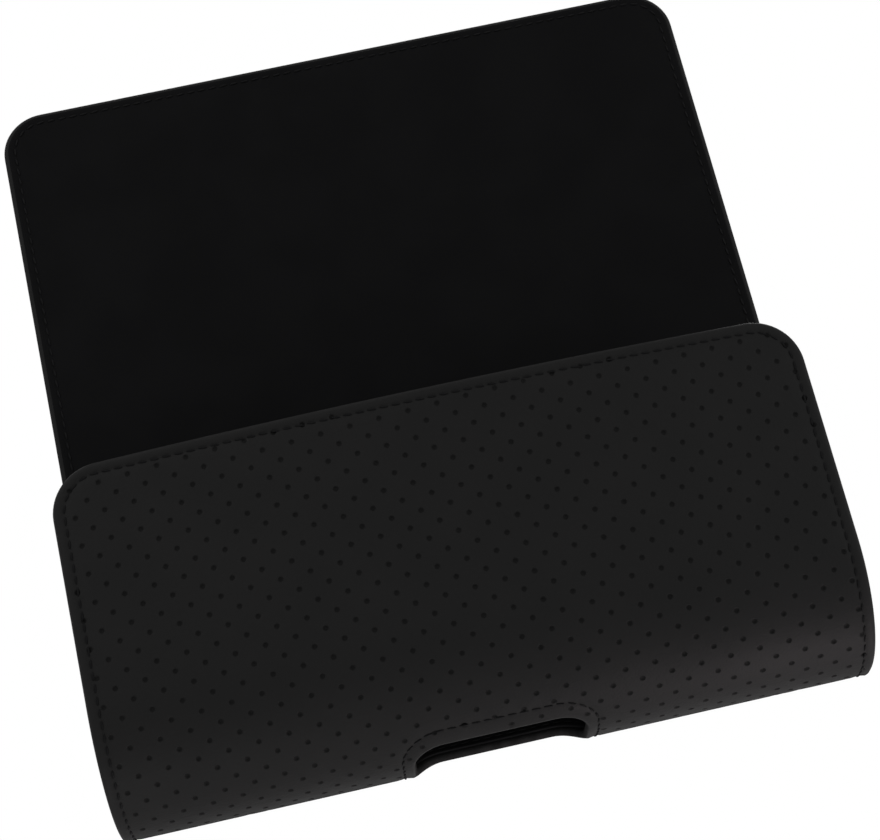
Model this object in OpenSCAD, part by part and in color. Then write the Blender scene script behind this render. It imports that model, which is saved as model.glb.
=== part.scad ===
/* [Case] */
// Width of the pouch, the top strip and the flap
case_w = 170; // [150:1:186]
// Depth of the pouch from outer back to outer front, at its side edges
case_d = 32.4; // [32.2:0.2:38]
// Height of the front panel's top edge above the bottom
front_h = 78.6; // [76:0.2:92]
// How far the front swells out at the middle of its width
front_crown = 4; // [2:0.5:5]
// Outer radius of the bend between front and bottom
front_bend_r = 25; // [18:0.5:25]
// Outer radius of the bend between back and bottom
back_bend_r = 7; // [5:0.5:7]
// Radius of the front panel's top corners
front_corner_r = 11; // [8:0.5:14]

/* [Flap] */
// Height of the closed flap's end above the bottom
flap_low = 9.8; // [7:0.2:15]
// Radius of the flap's two outer corners
flap_corner_r = 10.5; // [9:0.5:20]
// Gap left between two panels at a crease
fold_gap = 0.6; // [0.5:0.05:1]
// Angle that a crease can fold backwards through, in degrees
fold_back = 30; // [0:5:40]
// Air between the closed flap or strip and the pouch
fold_clearance = 0.6; // [0.5:0.1:2]

/* [Layers] */
// Thickness of the outer leather
leather_t = 1; // [0.8:0.1:1.4]
// Thickness of the stiffening board
board_t = 1.2; // [1.2:0.1:1.6]
// Thickness of the lining
lining_t = 0.6; // [0.5:0.1:1]
// Width of the leather that is turned in round an edge
turn_w = 4; // [3:0.5:6]
// Distance of the lining's edge from the leather's edge
lining_set = 1.2; // [0.8:0.1:2]
// Play of a stiffening board in its leather pocket
board_fit = 0.2; // [0.1:0.05:0.3]

/* [Finger cut-out] */
// Width of the cut-out
cut_w = 38; // [26:1:60]
// Radius of the cut-out's four corners
cut_corner_r = 6.5; // [4:0.5:8]
// Height of the cut-out's front and back edges above the bottom
cut_h = 2.4; // [1.6:0.1:3]

/* [Side elastics] */
// Height of an elastic's lower edge above the bottom
elastic_z = 26; // [25:1:32]
// Length of an elastic along the side
elastic_len = 26; // [15:1:30]
// Thickness of an elastic
elastic_t = 1.2; // [0.8:0.1:1.6]
// Distance of an elastic from the side edge
elastic_set = 5; // [4:0.5:8]
// Width of the ends that are sewn to front and back
elastic_tab = 8; // [5:0.5:12]

/* [Magnetic closure] */
// Diameter of a magnet and of its keeper disc
magnet_d = 14; // [10:0.5:18]
// Thickness of a magnet and of its keeper disc
magnet_t = 1; // [0.6:0.1:1.1]
// Distance of a magnet's middle from the side edge
magnet_inset = 43; // [25:1:55]
// Height of a keeper disc's rim above the bend of the front
magnet_rise = 1.2; // [0.4:0.2:8]

/* [Belt clip] */
// Height of the belt's middle above the bottom
belt_z = 45; // [43:0.5:45.5]
// Width of the spring strip
clip_w = 36; // [30:1:44]
// Thickness of the spring strip
clip_t = 1.2; // [0.8:0.1:1.6]
// Room for the belt between the clip's legs
clip_gap = 6; // [5.5:0.25:8]
// Height of the top bend's centre above the belt's middle
clip_up = 22; // [20:0.5:24]
// Length of the free leg below the belt's middle, down to its hook
clip_down = 22; // [20:0.5:25]
// Length of the fixed leg below the belt's middle
clip_foot = 18; // [14:0.5:20]
// Inner radius of the hook at the free end
hook_r = 10; // [8:0.5:12]
// Angle that the hook turns through
hook_angle = 42; // [30:1:45]
// Thickness of the clip's outer leather
cover_t = 1; // [0.8:0.1:1.4]
// Thickness of the clip's inner leather
cover_in_t = 0.8; // [0.6:0.1:1.2]
// Width of the leather beyond the spring strip
cover_margin = 3; // [2:0.5:4]
// Radius of the leather's corners at the free end
cover_corner_r = 7; // [4:0.5:10]
// Thickness of the plate that the rivets clamp
plate_t = 1; // [0.6:0.1:1.1]
// Height and width of the rivet plate
plate_size = 36; // [34:1:42]

/* [Rivets] */
// Diameter of a rivet's shank
rivet_d = 3.2; // [2.4:0.1:4]
// Diameter of a rivet's head
rivet_head_d = 7; // [5.5:0.25:8]
// Height of a rivet's head
rivet_head_h = 0.9; // [0.6:0.1:1.2]
// Distance between the rivets across the clip
rivet_span_x = 22; // [16:1:24]
// Distance between the rivets along the clip
rivet_span_z = 24; // [16:1:26]
// Radial play of a rivet in its holes
rivet_fit = 0.05; // [0.03:0.01:0.1]

/* [Belt loops] */
// Distance of a loop's middle from the side edge
loop_inset = 30; // [18:1:36]
// Width of a loop's strap
loop_w = 20; // [14:1:26]
// Thickness of a loop's strap
loop_t = 2; // [1.6:0.1:2.4]
// Height of the widest belt that the loops take
loop_inner_h = 46; // [40:1:48]
// Room for the belt between a loop and the back
loop_gap = 6; // [5:0.25:7]
// Inner radius of a loop's bends
loop_bend_r = 5; // [3:0.5:5]
// Length of a loop's sewn ends
loop_tab = 7; // [6:0.5:7.5]

/* [Hidden] */
$fn = 96;
// Facets of a full turn on the wide, shallow swell of the front
crown_fn = 1800;
// Overrun of a cutting solid past the face that it cuts
over = 1;
// Depths of the layers below the leather's outer face
core_t = leather_t + board_t;
panel_t = core_t + lining_t;
// Radius of the swell, from its chord and its rise, and the place of its upright axis
crown_r = (pow(case_w / 2, 2) + pow(front_crown, 2)) / (2 * front_crown);
front_out = case_d + front_crown;
crown_y = crown_r - front_out;
// Depth behind the front's outer face that one region must reach over
region_d = 2 * case_d;
// Creases, at the back panel's top and between the strip and the flap
crease1_z = front_h + fold_clearance;
strip_h = front_out - panel_t + fold_clearance;
crease2_z = crease1_z + strip_h;
flap_len = crease1_z - flap_low;
flap_top_z = crease2_z + flap_len;
region_top = crease1_z + 4 * over;
// Angle at which the cut-out's sides draw in towards the middle of the bottom
cut_taper = 1;
// Distance of those sides inside the corners' outermost points, so that they cross the arcs
cut_cross = 0.02;
// Half the length of the flat part of the bottom, from front to back
half_flat = (front_out - front_bend_r - back_bend_r) / 2;
// Places of the loops and the magnets across the case
loop_x = case_w / 2 - loop_inset;
magnet_x = case_w / 2 - magnet_inset;
// Where the bottom's board meets the back's board
board_split_z = back_bend_r + turn_w;
// Height of the keepers, and of the magnets that meet them when the flap is closed
keeper_z = front_bend_r + magnet_rise + magnet_d / 2;
magnet_z = crease2_z + crease1_z - keeper_z;
keeper_angle = asin(magnet_x / crown_r);
// Depth of a magnet or keeper in its board's layer
magnet_play = (board_t - magnet_t) / 2;
// The clip's bend and its two legs, seen from the side
clip_bend_r = (clip_gap + cover_in_t) / 2;
clip_axis_y = clip_t + clip_bend_r;
clip_leg_y = clip_t + 2 * clip_bend_r;
clip_out_y = clip_leg_y + clip_t + cover_t;
cover_w = clip_w + 2 * cover_margin;
// Angle by which the leather runs past the hook's steel end
cover_past = asin(cover_margin / hook_r);
plate_play = (board_t - plate_t) / 2;
// Radius of the ball that gives a rivet's head its height over its width
rivet_dome_r = (pow(rivet_head_d / 2, 2) + pow(rivet_head_h, 2)) / (2 * rivet_head_h);

leather_color = [0.11, 0.105, 0.105];
lining_color = [0.06, 0.06, 0.065];
board_color = [0.45, 0.42, 0.38];
steel_color = [0.6, 0.61, 0.63];
elastic_color = [0.14, 0.14, 0.15];

// Turns a drawing of depth (y) and height (z) into a solid of width w, centred on x
module across(w) {
  rotate([90, 0, 90]) linear_extrude(w, center = true) children();
}

// Turns a drawing of width (x) and height (z) into a solid from depth y0 to depth y1
module through(y0, y1) {
  translate([0, y1, 0]) rotate([90, 0, 0]) linear_extrude(y1 - y0) children();
}

// The row's origin is the middle of the belt, on the back's outer face
module placed() {
  translate([0, 0, -belt_z]) children();
}

// How far a panel's mitred end stays back from its crease, at a depth below the outer face
function mitre(depth) = fold_gap / 2 + (panel_t - depth) * tan(fold_back / 2);

// A ring's sector between two radii, from angle a0 to angle a1, under 180 degrees apart
module ring_sector(r0, r1, a0, a1) {
  far = 3 * r1;
  difference() {
    intersection() {
      circle(r1);
      polygon([
        [0, 0],
        far * [cos(a0), sin(a0)],
        far * [cos((a0 + a1) / 2), sin((a0 + a1) / 2)],
        far * [cos(a1), sin(a1)]
      ]);
    }
    circle(r0);
  }
}

// Rectangle from z0 to z1 with its two upper corners rounded
module round_top(w, z0, z1, r) {
  translate([-w / 2, z0]) square([w, z1 - r - z0]);
  translate([r - w / 2, z0]) square([w - 2 * r, z1 - z0]);
  for (side = [-1, 1]) translate([side * (w / 2 - r), z1 - r]) circle(r);
}

// Outline of half of the finger cut-out: two round corners and sides that draw in towards its middle
module cutout_outline(grow, reach) {
  r = cut_corner_r + grow;
  corner_x = cut_w / 2 - cut_corner_r;
  corner_y = cut_corner_r;
  side_x = corner_x + (r - cut_cross) * cos(cut_taper);
  side_y = corner_y + (r - cut_cross) * sin(cut_taper);
  end_x = side_x - (reach - side_y) * tan(cut_taper);
  polygon([
    [-corner_x, -grow],
    [corner_x, -grow],
    [side_x, side_y],
    [end_x, reach],
    [-end_x, reach],
    [-side_x, side_y]
  ]);
  for (side = [-1, 1]) translate([side * corner_x, corner_y]) circle(r);
}

// Half of the finger cut-out, square to a bend of radius r where it crosses it, grown by a margin
module cutout_half(r, grow) {
  angle = acos((r - cut_h) / r);
  reach = half_flat * cos(angle) + r * sin(angle) + 2 * over;
  inside_z = half_flat * sin(angle) - r * cos(angle) + panel_t + 2 * over;
  translate([0, 0, r])
    rotate([-angle, 0, 0])
      translate([0, 0, -r - 2 * over])
        linear_extrude(inside_z + r + 2 * over) cutout_outline(grow, reach);
}

// The finger cut-out through front bend, bottom and back bend
module cutout(grow) {
  translate([0, front_bend_r - front_out, 0]) cutout_half(front_bend_r, grow);
  translate([0, -back_bend_r, 0]) mirror([0, 1, 0]) cutout_half(back_bend_r, grow);
}

// Everything inside the front's, the bend's and the bottom's skin at a depth below the outer face
module front_region(depth, top) {
  half_angle = atan((case_w / 2 + over) / (crown_y - over));
  r = front_bend_r - depth;
  translate([0, crown_y, 0])
    rotate([0, 0, -90 - half_angle])
      rotate_extrude(angle = 2 * half_angle, $fn = crown_fn) {
        translate([crown_r - region_d, depth]) square([region_d - front_bend_r, top - depth]);
        translate([crown_r - region_d, front_bend_r])
          square([region_d - depth, top - front_bend_r]);
        translate([crown_r - front_bend_r, front_bend_r]) circle(r, $fn = 96);
      }
}

// Everything inside the back's skin at a depth below the outer face
module back_region(depth, top) {
  across(case_w + 4 * over) {
    translate([-region_d, depth]) square([region_d - back_bend_r, top - depth]);
    translate([-region_d, back_bend_r]) square([region_d - depth, top - back_bend_r]);
    translate([-back_bend_r, back_bend_r]) circle(back_bend_r - depth);
  }
}

// The pouch's solid inside a skin at a depth below its outer face
module pouch_core(depth, top = region_top) {
  intersection() {
    front_region(depth, top);
    back_region(depth, top);
  }
}

// What the pouch's outline leaves of a layer, a distance inside every edge
module pouch_trim(edge) {
  front_y = -panel_t - over;
  difference() {
    union() {
      through(-region_d, front_y + over / 2)
        round_top(case_w - 2 * edge, -over, front_h - edge, front_corner_r - edge / 2);
      across(case_w - 2 * edge)
        polygon([
          [over, -over],
          [over, crease1_z - edge - mitre(-over)],
          [front_y, crease1_z - edge - mitre(-front_y)],
          [front_y, -over]
        ]);
    }
    cutout(edge);
  }
}

// Rivet axes on the back, pointing to the wearer
module at_rivets() {
  for (x = [-1, 1], z = [-1, 1])
    translate([x * rivet_span_x / 2, 0, belt_z + z * rivet_span_z / 2])
      rotate([-90, 0, 0]) children();
}

module rivet_holes() {
  at_rivets()
    translate([0, 0, -panel_t]) cylinder(h = panel_t + 2 * clip_t, r = rivet_d / 2 + rivet_fit);
}

// A disc in the front's board layer, square to the swell, at one side
module keeper_disc(side, r, t) {
  translate([0, crown_y, keeper_z])
    rotate([0, 0, side * keeper_angle])
      translate([0, -(crown_r - leather_t - board_t / 2), 0])
        rotate([90, 0, 0]) cylinder(h = t, r = r, center = true);
}

module pouch_leather() {
  difference() {
    intersection() {
      pouch_core(0);
      pouch_trim(0);
    }
    pouch_core(core_t, region_top + over);
    intersection() {
      pouch_core(leather_t, region_top + over);
      pouch_trim(turn_w);
    }
    rivet_holes();
  }
}

module pouch_board() {
  difference() {
    intersection() {
      pouch_core(leather_t);
      pouch_trim(turn_w + board_fit);
    }
    pouch_core(core_t, region_top + over);
  }
}

// The space of the back panel above the line where the two boards meet
module back_half(z0) {
  translate([-case_w, -panel_t, z0]) cube([2 * case_w, 2 * panel_t, crease2_z]);
}

module front_board() {
  difference() {
    pouch_board();
    back_half(board_split_z);
    for (side = [-1, 1]) keeper_disc(side, magnet_d / 2 + board_fit, 2 * board_t);
  }
}

module back_board() {
  difference() {
    intersection() {
      pouch_board();
      back_half(board_split_z + board_fit);
    }
    through(-panel_t, over)
      translate([-plate_size / 2 - board_fit, belt_z - plate_size / 2 - board_fit])
        square(plate_size + 2 * board_fit);
  }
}

module pouch_lining() {
  difference() {
    intersection() {
      pouch_core(core_t);
      pouch_trim(lining_set);
    }
    pouch_core(panel_t, region_top + over);
  }
}

// One side's elastic: a web across the side, and an end sewn to the front and to the back
module side_elastic(side) {
  web_x = case_w / 2 - elastic_set;
  difference() {
    intersection() {
      pouch_core(panel_t);
      translate([side * (web_x - elastic_tab / 2), -region_d / 2, elastic_z + elastic_len / 2])
        cube([elastic_tab, region_d, elastic_len], center = true);
    }
    intersection() {
      pouch_core(panel_t + elastic_t);
      translate([side * (web_x - elastic_t - elastic_tab / 2), -region_d / 2, 0])
        cube([elastic_tab, region_d, 3 * crease1_z], center = true);
    }
  }
}

module magnet_disc(side, r, t) {
  translate([side * magnet_x, -leather_t - board_t / 2, magnet_z])
    rotate([90, 0, 0]) cylinder(h = t, r = r, center = true);
}

// A flat panel's layer between two depths, with mitred ends at a crease below and above
module strip_layer(d0, d1, edge) {
  z0 = crease1_z + edge;
  z1 = crease2_z - edge;
  across(case_w - 2 * edge)
    polygon([
      [-d0, z0 + mitre(d0)],
      [-d0, z1 - mitre(d0)],
      [-d1, z1 - mitre(d1)],
      [-d1, z0 + mitre(d1)]
    ]);
}

module flap_layer(d0, d1, edge) {
  z0 = crease2_z + edge;
  low = crease2_z - 2 * over;
  difference() {
    through(-d1, -d0)
      round_top(case_w - 2 * edge, crease2_z, flap_top_z - edge, flap_corner_r - edge);
    across(case_w + 4 * over)
      polygon([
        [over, z0 + mitre(-over)],
        [over, low],
        [-panel_t - over, low],
        [-panel_t - over, z0 + mitre(panel_t + over)]
      ]);
  }
}

// The clip seen from the side, as layers between two distances from its inner face
module clip_side(d0, d1, extra_angle) {
  leg_y = clip_leg_y;
  hook_y = clip_leg_y - hook_r;
  hook_z = belt_z - clip_down;
  top_z = belt_z + clip_up;
  translate([leg_y + d0, hook_z]) square([d1 - d0, top_z - hook_z]);
  translate([clip_axis_y, top_z])
    intersection() {
      difference() {
        circle(clip_bend_r + d1);
        circle(clip_bend_r + d0);
      }
      translate([-4 * clip_bend_r, 0]) square(8 * clip_bend_r);
    }
  translate([hook_y, hook_z])
    ring_sector(hook_r + d0, hook_r + d1, -hook_angle - extra_angle, 0);
}

// Outline of the clip's free leg seen from behind, upside down of round_top
module clip_outline(w, r, low) {
  mirror([0, 1]) round_top(w, -(belt_z + clip_up + 3 * clip_bend_r), -low, r);
}

// Lowest height of the hook's end at a distance from its inner face
function hook_low(d, extra) = belt_z - clip_down - (hook_r + d) * sin(hook_angle + extra);

module body_leather() {
  color(leather_color) placed() pouch_leather();
}

module front_stiffener() {
  color(board_color) placed() front_board();
}

module back_stiffener() {
  color(board_color) placed() back_board();
}

module body_lining() {
  color(lining_color) placed() pouch_lining();
}

module elastic_left() {
  color(elastic_color) placed() side_elastic(-1);
}

module elastic_right() {
  color(elastic_color) placed() side_elastic(1);
}

module keeper_left() {
  color(steel_color) placed() keeper_disc(-1, magnet_d / 2, magnet_t);
}

module keeper_right() {
  color(steel_color) placed() keeper_disc(1, magnet_d / 2, magnet_t);
}

// The spring strip: a fixed leg on the back, a bend over the belt and a free leg with a hook
module belt_clip() {
  color(steel_color) placed()
    difference() {
      union() {
        across(clip_w)
          translate([0, belt_z - clip_foot]) square([clip_t, clip_up + clip_foot]);
        intersection() {
          across(clip_w) clip_side(0, clip_t, 0);
          through(-over, 2 * clip_out_y)
            clip_outline(clip_w, cover_corner_r - cover_margin, hook_low(clip_t, 0));
        }
      }
      rivet_holes();
    }
}

module clip_cover_outer() {
  color(leather_color) placed()
    difference() {
      intersection() {
        across(cover_w) clip_side(0, clip_t + cover_t, cover_past);
        through(0, 2 * clip_out_y)
          clip_outline(cover_w, cover_corner_r, hook_low(clip_t, cover_past));
      }
      across(clip_w + 2 * rivet_fit) clip_side(-over, clip_t, rivet_fit);
      across(clip_w + 2 * rivet_fit)
        translate([-over, belt_z]) square([clip_t + over, clip_up]);
    }
}

module clip_cover_inner() {
  color(leather_color) placed()
    intersection() {
      across(cover_w) {
        translate([clip_leg_y - cover_in_t, belt_z - clip_down])
          square([cover_in_t, clip_up + clip_down]);
        translate([clip_leg_y - hook_r, belt_z - clip_down])
          ring_sector(hook_r - cover_in_t, hook_r, -hook_angle - cover_past, 0);
      }
      through(0, 2 * clip_out_y)
        clip_outline(cover_w, cover_corner_r, hook_low(clip_t, cover_past));
    }
}

module clip_plate() {
  color(steel_color) placed()
    difference() {
      translate([-plate_size / 2, -leather_t - plate_play - plate_t, belt_z - plate_size / 2])
        cube([plate_size, plate_t, plate_size]);
      rivet_holes();
    }
}

module clip_rivets() {
  tail = leather_t + plate_play + plate_t;
  color(steel_color) placed()
    at_rivets() {
      translate([0, 0, -tail]) cylinder(h = tail + clip_t, d = rivet_d);
      intersection() {
        translate([0, 0, clip_t + rivet_head_h - rivet_dome_r]) sphere(rivet_dome_r);
        translate([0, 0, clip_t]) cylinder(h = 2 * rivet_head_h, d = rivet_head_d);
      }
    }
}

// A strap sewn down at both ends, standing off the back in the middle
module belt_loop(side) {
  outer_h = loop_inner_h / 2 + loop_t;
  bend_out = loop_bend_r + loop_t;
  translate([side * loop_x, 0, belt_z])
    across(loop_w)
      difference() {
        union() {
          translate([0, -outer_h - loop_tab]) square([loop_t, 2 * (outer_h + loop_tab)]);
          translate([0, -outer_h]) square([loop_gap + loop_t - bend_out, 2 * outer_h]);
          translate([0, bend_out - outer_h]) square([loop_gap + loop_t, 2 * (outer_h - bend_out)]);
          for (s = [-1, 1])
            intersection() {
              translate([loop_gap + loop_t - bend_out, s * (outer_h - bend_out)]) circle(bend_out);
              translate([0, -2 * outer_h]) square([2 * bend_out, 4 * outer_h]);
            }
        }
        translate([-over, -loop_inner_h / 2])
          square([loop_gap - loop_bend_r + over, loop_inner_h]);
        translate([-over, loop_bend_r - loop_inner_h / 2])
          square([loop_gap + over, loop_inner_h - 2 * loop_bend_r]);
        for (s = [-1, 1])
          translate([loop_gap - loop_bend_r, s * (loop_inner_h / 2 - loop_bend_r)])
            circle(loop_bend_r);
      }
}

module belt_loop_left() {
  color(leather_color) placed() belt_loop(-1);
}

module belt_loop_right() {
  color(leather_color) placed() belt_loop(1);
}

module strip_leather() {
  color(leather_color) placed()
    difference() {
      strip_layer(0, core_t, 0);
      intersection() {
        strip_layer(leather_t, panel_t, turn_w);
        across(case_w - 2 * turn_w) translate([-panel_t, 0]) square([panel_t, crease2_z]);
      }
    }
}

module strip_stiffener() {
  color(board_color) placed() strip_layer(leather_t, core_t, turn_w + board_fit);
}

module strip_lining() {
  color(lining_color) placed() strip_layer(core_t, panel_t, lining_set);
}

module flap_leather() {
  color(leather_color) placed()
    difference() {
      flap_layer(0, core_t, 0);
      flap_layer(leather_t, panel_t, turn_w);
    }
}

module flap_stiffener() {
  color(board_color) placed()
    difference() {
      flap_layer(leather_t, core_t, turn_w + board_fit);
      for (side = [-1, 1]) magnet_disc(side, magnet_d / 2 + board_fit, 2 * board_t);
    }
}

module flap_lining() {
  color(lining_color) placed() flap_layer(core_t, panel_t, lining_set);
}

module magnet_left() {
  color(steel_color) placed() magnet_disc(-1, magnet_d / 2, magnet_t);
}

module magnet_right() {
  color(steel_color) placed() magnet_disc(1, magnet_d / 2, magnet_t);
}

body_leather();
front_stiffener();
back_stiffener();
body_lining();
elastic_left();
elastic_right();
keeper_left();
keeper_right();
belt_clip();
clip_cover_outer();
clip_cover_inner();
clip_plate();
clip_rivets();
belt_loop_left();
belt_loop_right();
strip_leather();
strip_stiffener();
strip_lining();
flap_leather();
flap_stiffener();
flap_lining();
magnet_left();
magnet_right();
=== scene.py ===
"""Looks of a phone belt holster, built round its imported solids.

The leather skins, the linings, the clip's cover and the belt loops are cut as flat patterns
with turned edges. Geometry Nodes emboss each pattern and bend it along the profile it follows.
"""
from __future__ import annotations

import logging
import math
from dataclasses import dataclass, field
from enum import Enum
from functools import cache
from typing import Any, Callable, Iterable, Sequence

import bmesh
import bpy
import numpy as np
from mathutils import Euler, Matrix, Vector
from mathutils.geometry import delaunay_2d_cdt
from mathutils.kdtree import KDTree


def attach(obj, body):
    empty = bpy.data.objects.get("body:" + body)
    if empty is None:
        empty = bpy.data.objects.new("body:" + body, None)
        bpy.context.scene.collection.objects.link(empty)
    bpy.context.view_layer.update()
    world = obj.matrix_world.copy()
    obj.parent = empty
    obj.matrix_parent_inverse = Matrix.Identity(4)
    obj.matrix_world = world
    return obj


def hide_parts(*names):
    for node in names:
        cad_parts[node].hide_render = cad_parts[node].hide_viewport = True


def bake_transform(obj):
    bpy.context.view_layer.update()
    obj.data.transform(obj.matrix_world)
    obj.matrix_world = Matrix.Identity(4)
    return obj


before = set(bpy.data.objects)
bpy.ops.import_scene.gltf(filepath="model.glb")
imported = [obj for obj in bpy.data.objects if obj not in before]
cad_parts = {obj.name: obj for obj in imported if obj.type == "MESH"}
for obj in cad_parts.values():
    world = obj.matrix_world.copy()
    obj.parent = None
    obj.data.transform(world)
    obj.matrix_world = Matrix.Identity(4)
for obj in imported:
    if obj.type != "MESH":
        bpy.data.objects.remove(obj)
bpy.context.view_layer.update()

LOG = logging.getLogger("holster")
MM = 0.001


class Slot(Enum):
    """Names of the record's material slots; no piece here is given one."""

    LEATHER = "leather"
    LINING = "lining"
    ELASTIC = "elastic"


class Body(Enum):
    """Bodies of the case that pieces ride on."""

    POUCH = "pouch"
    STRIP = "strip"
    FLAP = "flap"


@dataclass(frozen=True)
class CaseSizes:
    """Sizes that the case's pieces share, in millimetres, with heights above its bottom."""

    width: float = 170.0
    depth: float = 32.4
    crown: float = 4.0
    front_h: float = 78.6
    front_bend: float = 25.0
    back_bend: float = 7.0
    front_corner: float = 11.0
    flap_corner: float = 10.5
    crease_low: float = 79.2
    crease_high: float = 113.4
    flap_top: float = 182.8
    belt_z: float = 45.0
    leather: float = 1.0
    core: float = 2.2
    panel: float = 2.8
    turn: float = 4.0
    lining_set: float = 1.2
    cut_w: float = 38.0
    cut_corner: float = 6.5
    cut_h: float = 2.4

    @property
    def crown_radius(self) -> float:
        """Radius of the front's swell across its width."""
        return ((self.width / 2) ** 2 + self.crown**2) / (2 * self.crown)

    @property
    def front_out(self) -> float:
        """Depth from the back to the front's outermost line."""
        return self.depth + self.crown

    @property
    def crown_axis(self) -> float:
        """Place in y of the upright axis that the front swells about."""
        return self.crown_radius - self.front_out

    @property
    def bottom_flat(self) -> float:
        """Length of the flat part of the bottom in the middle of the width."""
        return self.front_out - self.front_bend - self.back_bend

    @property
    def s_bend(self) -> float:
        """Place along the profile where the front's bend starts."""
        return self.front_h - self.front_bend

    @property
    def s_bottom(self) -> float:
        """Place along the profile where the front's bend ends."""
        return self.s_bend + math.pi / 2 * self.front_bend

    @property
    def s_back_bend(self) -> float:
        """Place along the profile where the back's bend starts."""
        return self.s_bottom + self.bottom_flat

    @property
    def s_back(self) -> float:
        """Place along the profile where the flat back starts."""
        return self.s_back_bend + math.pi / 2 * self.back_bend

    def s_of_height(self, z: float) -> float:
        """Place along the profile of a height on the back, the strip or the flap."""
        return self.s_back + z - self.back_bend

    @property
    def s_seam(self) -> float:
        """Place along the profile where the two skins meet, midway up the strip."""
        return self.s_of_height((self.crease_low + self.crease_high) / 2)

    @property
    def s_end(self) -> float:
        """Place along the profile of the flap's free end."""
        return self.s_of_height(self.flap_top)


@dataclass(frozen=True)
class Emboss:
    """The staggered dimples pressed into the leather, in millimetres.

    lean turns the rows, in degrees; inner and collar are shares of the radius; ring is how many
    points each ring of a dimple has.
    """

    pitch: float = 6.6
    row: float = 3.26
    lean: float = -2.8
    start: tuple[float, float] = (-1.22, 1.37)
    radius: float = 0.74
    depth: float = 0.3
    ring: int = 8
    inner: float = 0.6
    collar: float = 1.35

    def spots(self, low: Sequence[float], high: Sequence[float]) -> np.ndarray:
        """Places of the dimples' lattice that cover a box of the flat pattern.

        Args:
            low: the box's lowest corner.
            high: its highest corner.

        Returns:
            The places, one a row.
        """
        u, v = self.axes()
        reach = math.dist(low, high)
        rows, columns = math.ceil(reach / self.row), math.ceil(reach / self.pitch)
        middle = np.array([(low[0] + high[0]) / 2, (low[1] + high[1]) / 2]) - self.start
        i0, j0 = round(middle @ u / self.pitch), round(middle @ v / self.row)
        return np.array([
            np.array(self.start) + (i0 + i + 0.5 * ((j0 + j) % 2)) * self.pitch * u
            + (j0 + j) * self.row * v
            for j in range(-rows, rows + 1) for i in range(-columns, columns + 1)])

    def axes(self) -> tuple[np.ndarray, np.ndarray]:
        """Returns the direction of the rows and the direction from row to row."""
        a = math.radians(self.lean)
        return np.array([math.cos(a), math.sin(a)]), np.array([-math.sin(a), math.cos(a)])


@dataclass(frozen=True)
class Stitch:
    """One seam's stitches and the groove that they pull down, in millimetres.

    lean turns each stitch, in degrees; sunk is how far the thread's middle lies above the
    groove's bottom, as a share of its thickness.
    """

    pitch: float = 2.7
    length: float = 2.0
    thick: float = 0.5
    lean: float = 6.0
    groove: float = 0.28
    groove_w: float = 0.42
    inset: float = 2.7
    sunk: float = 0.3


SIZES = CaseSizes()
EMBOSS = Emboss()
STITCH = Stitch()
SIDE_NAMES = {-1: "left", 1: "right"}

# Spacing of the points along a line to sew and along a strap's outline, in millimetres
THREAD_STEP = 0.5
STRAP_STEP = 0.9


# Node trees

GEOMETRY = "NodeSocketGeometry"
NUMBER = "NodeSocketFloat"
VECTOR = "NodeSocketVector"
MATERIAL = "NodeSocketMaterial"


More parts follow.
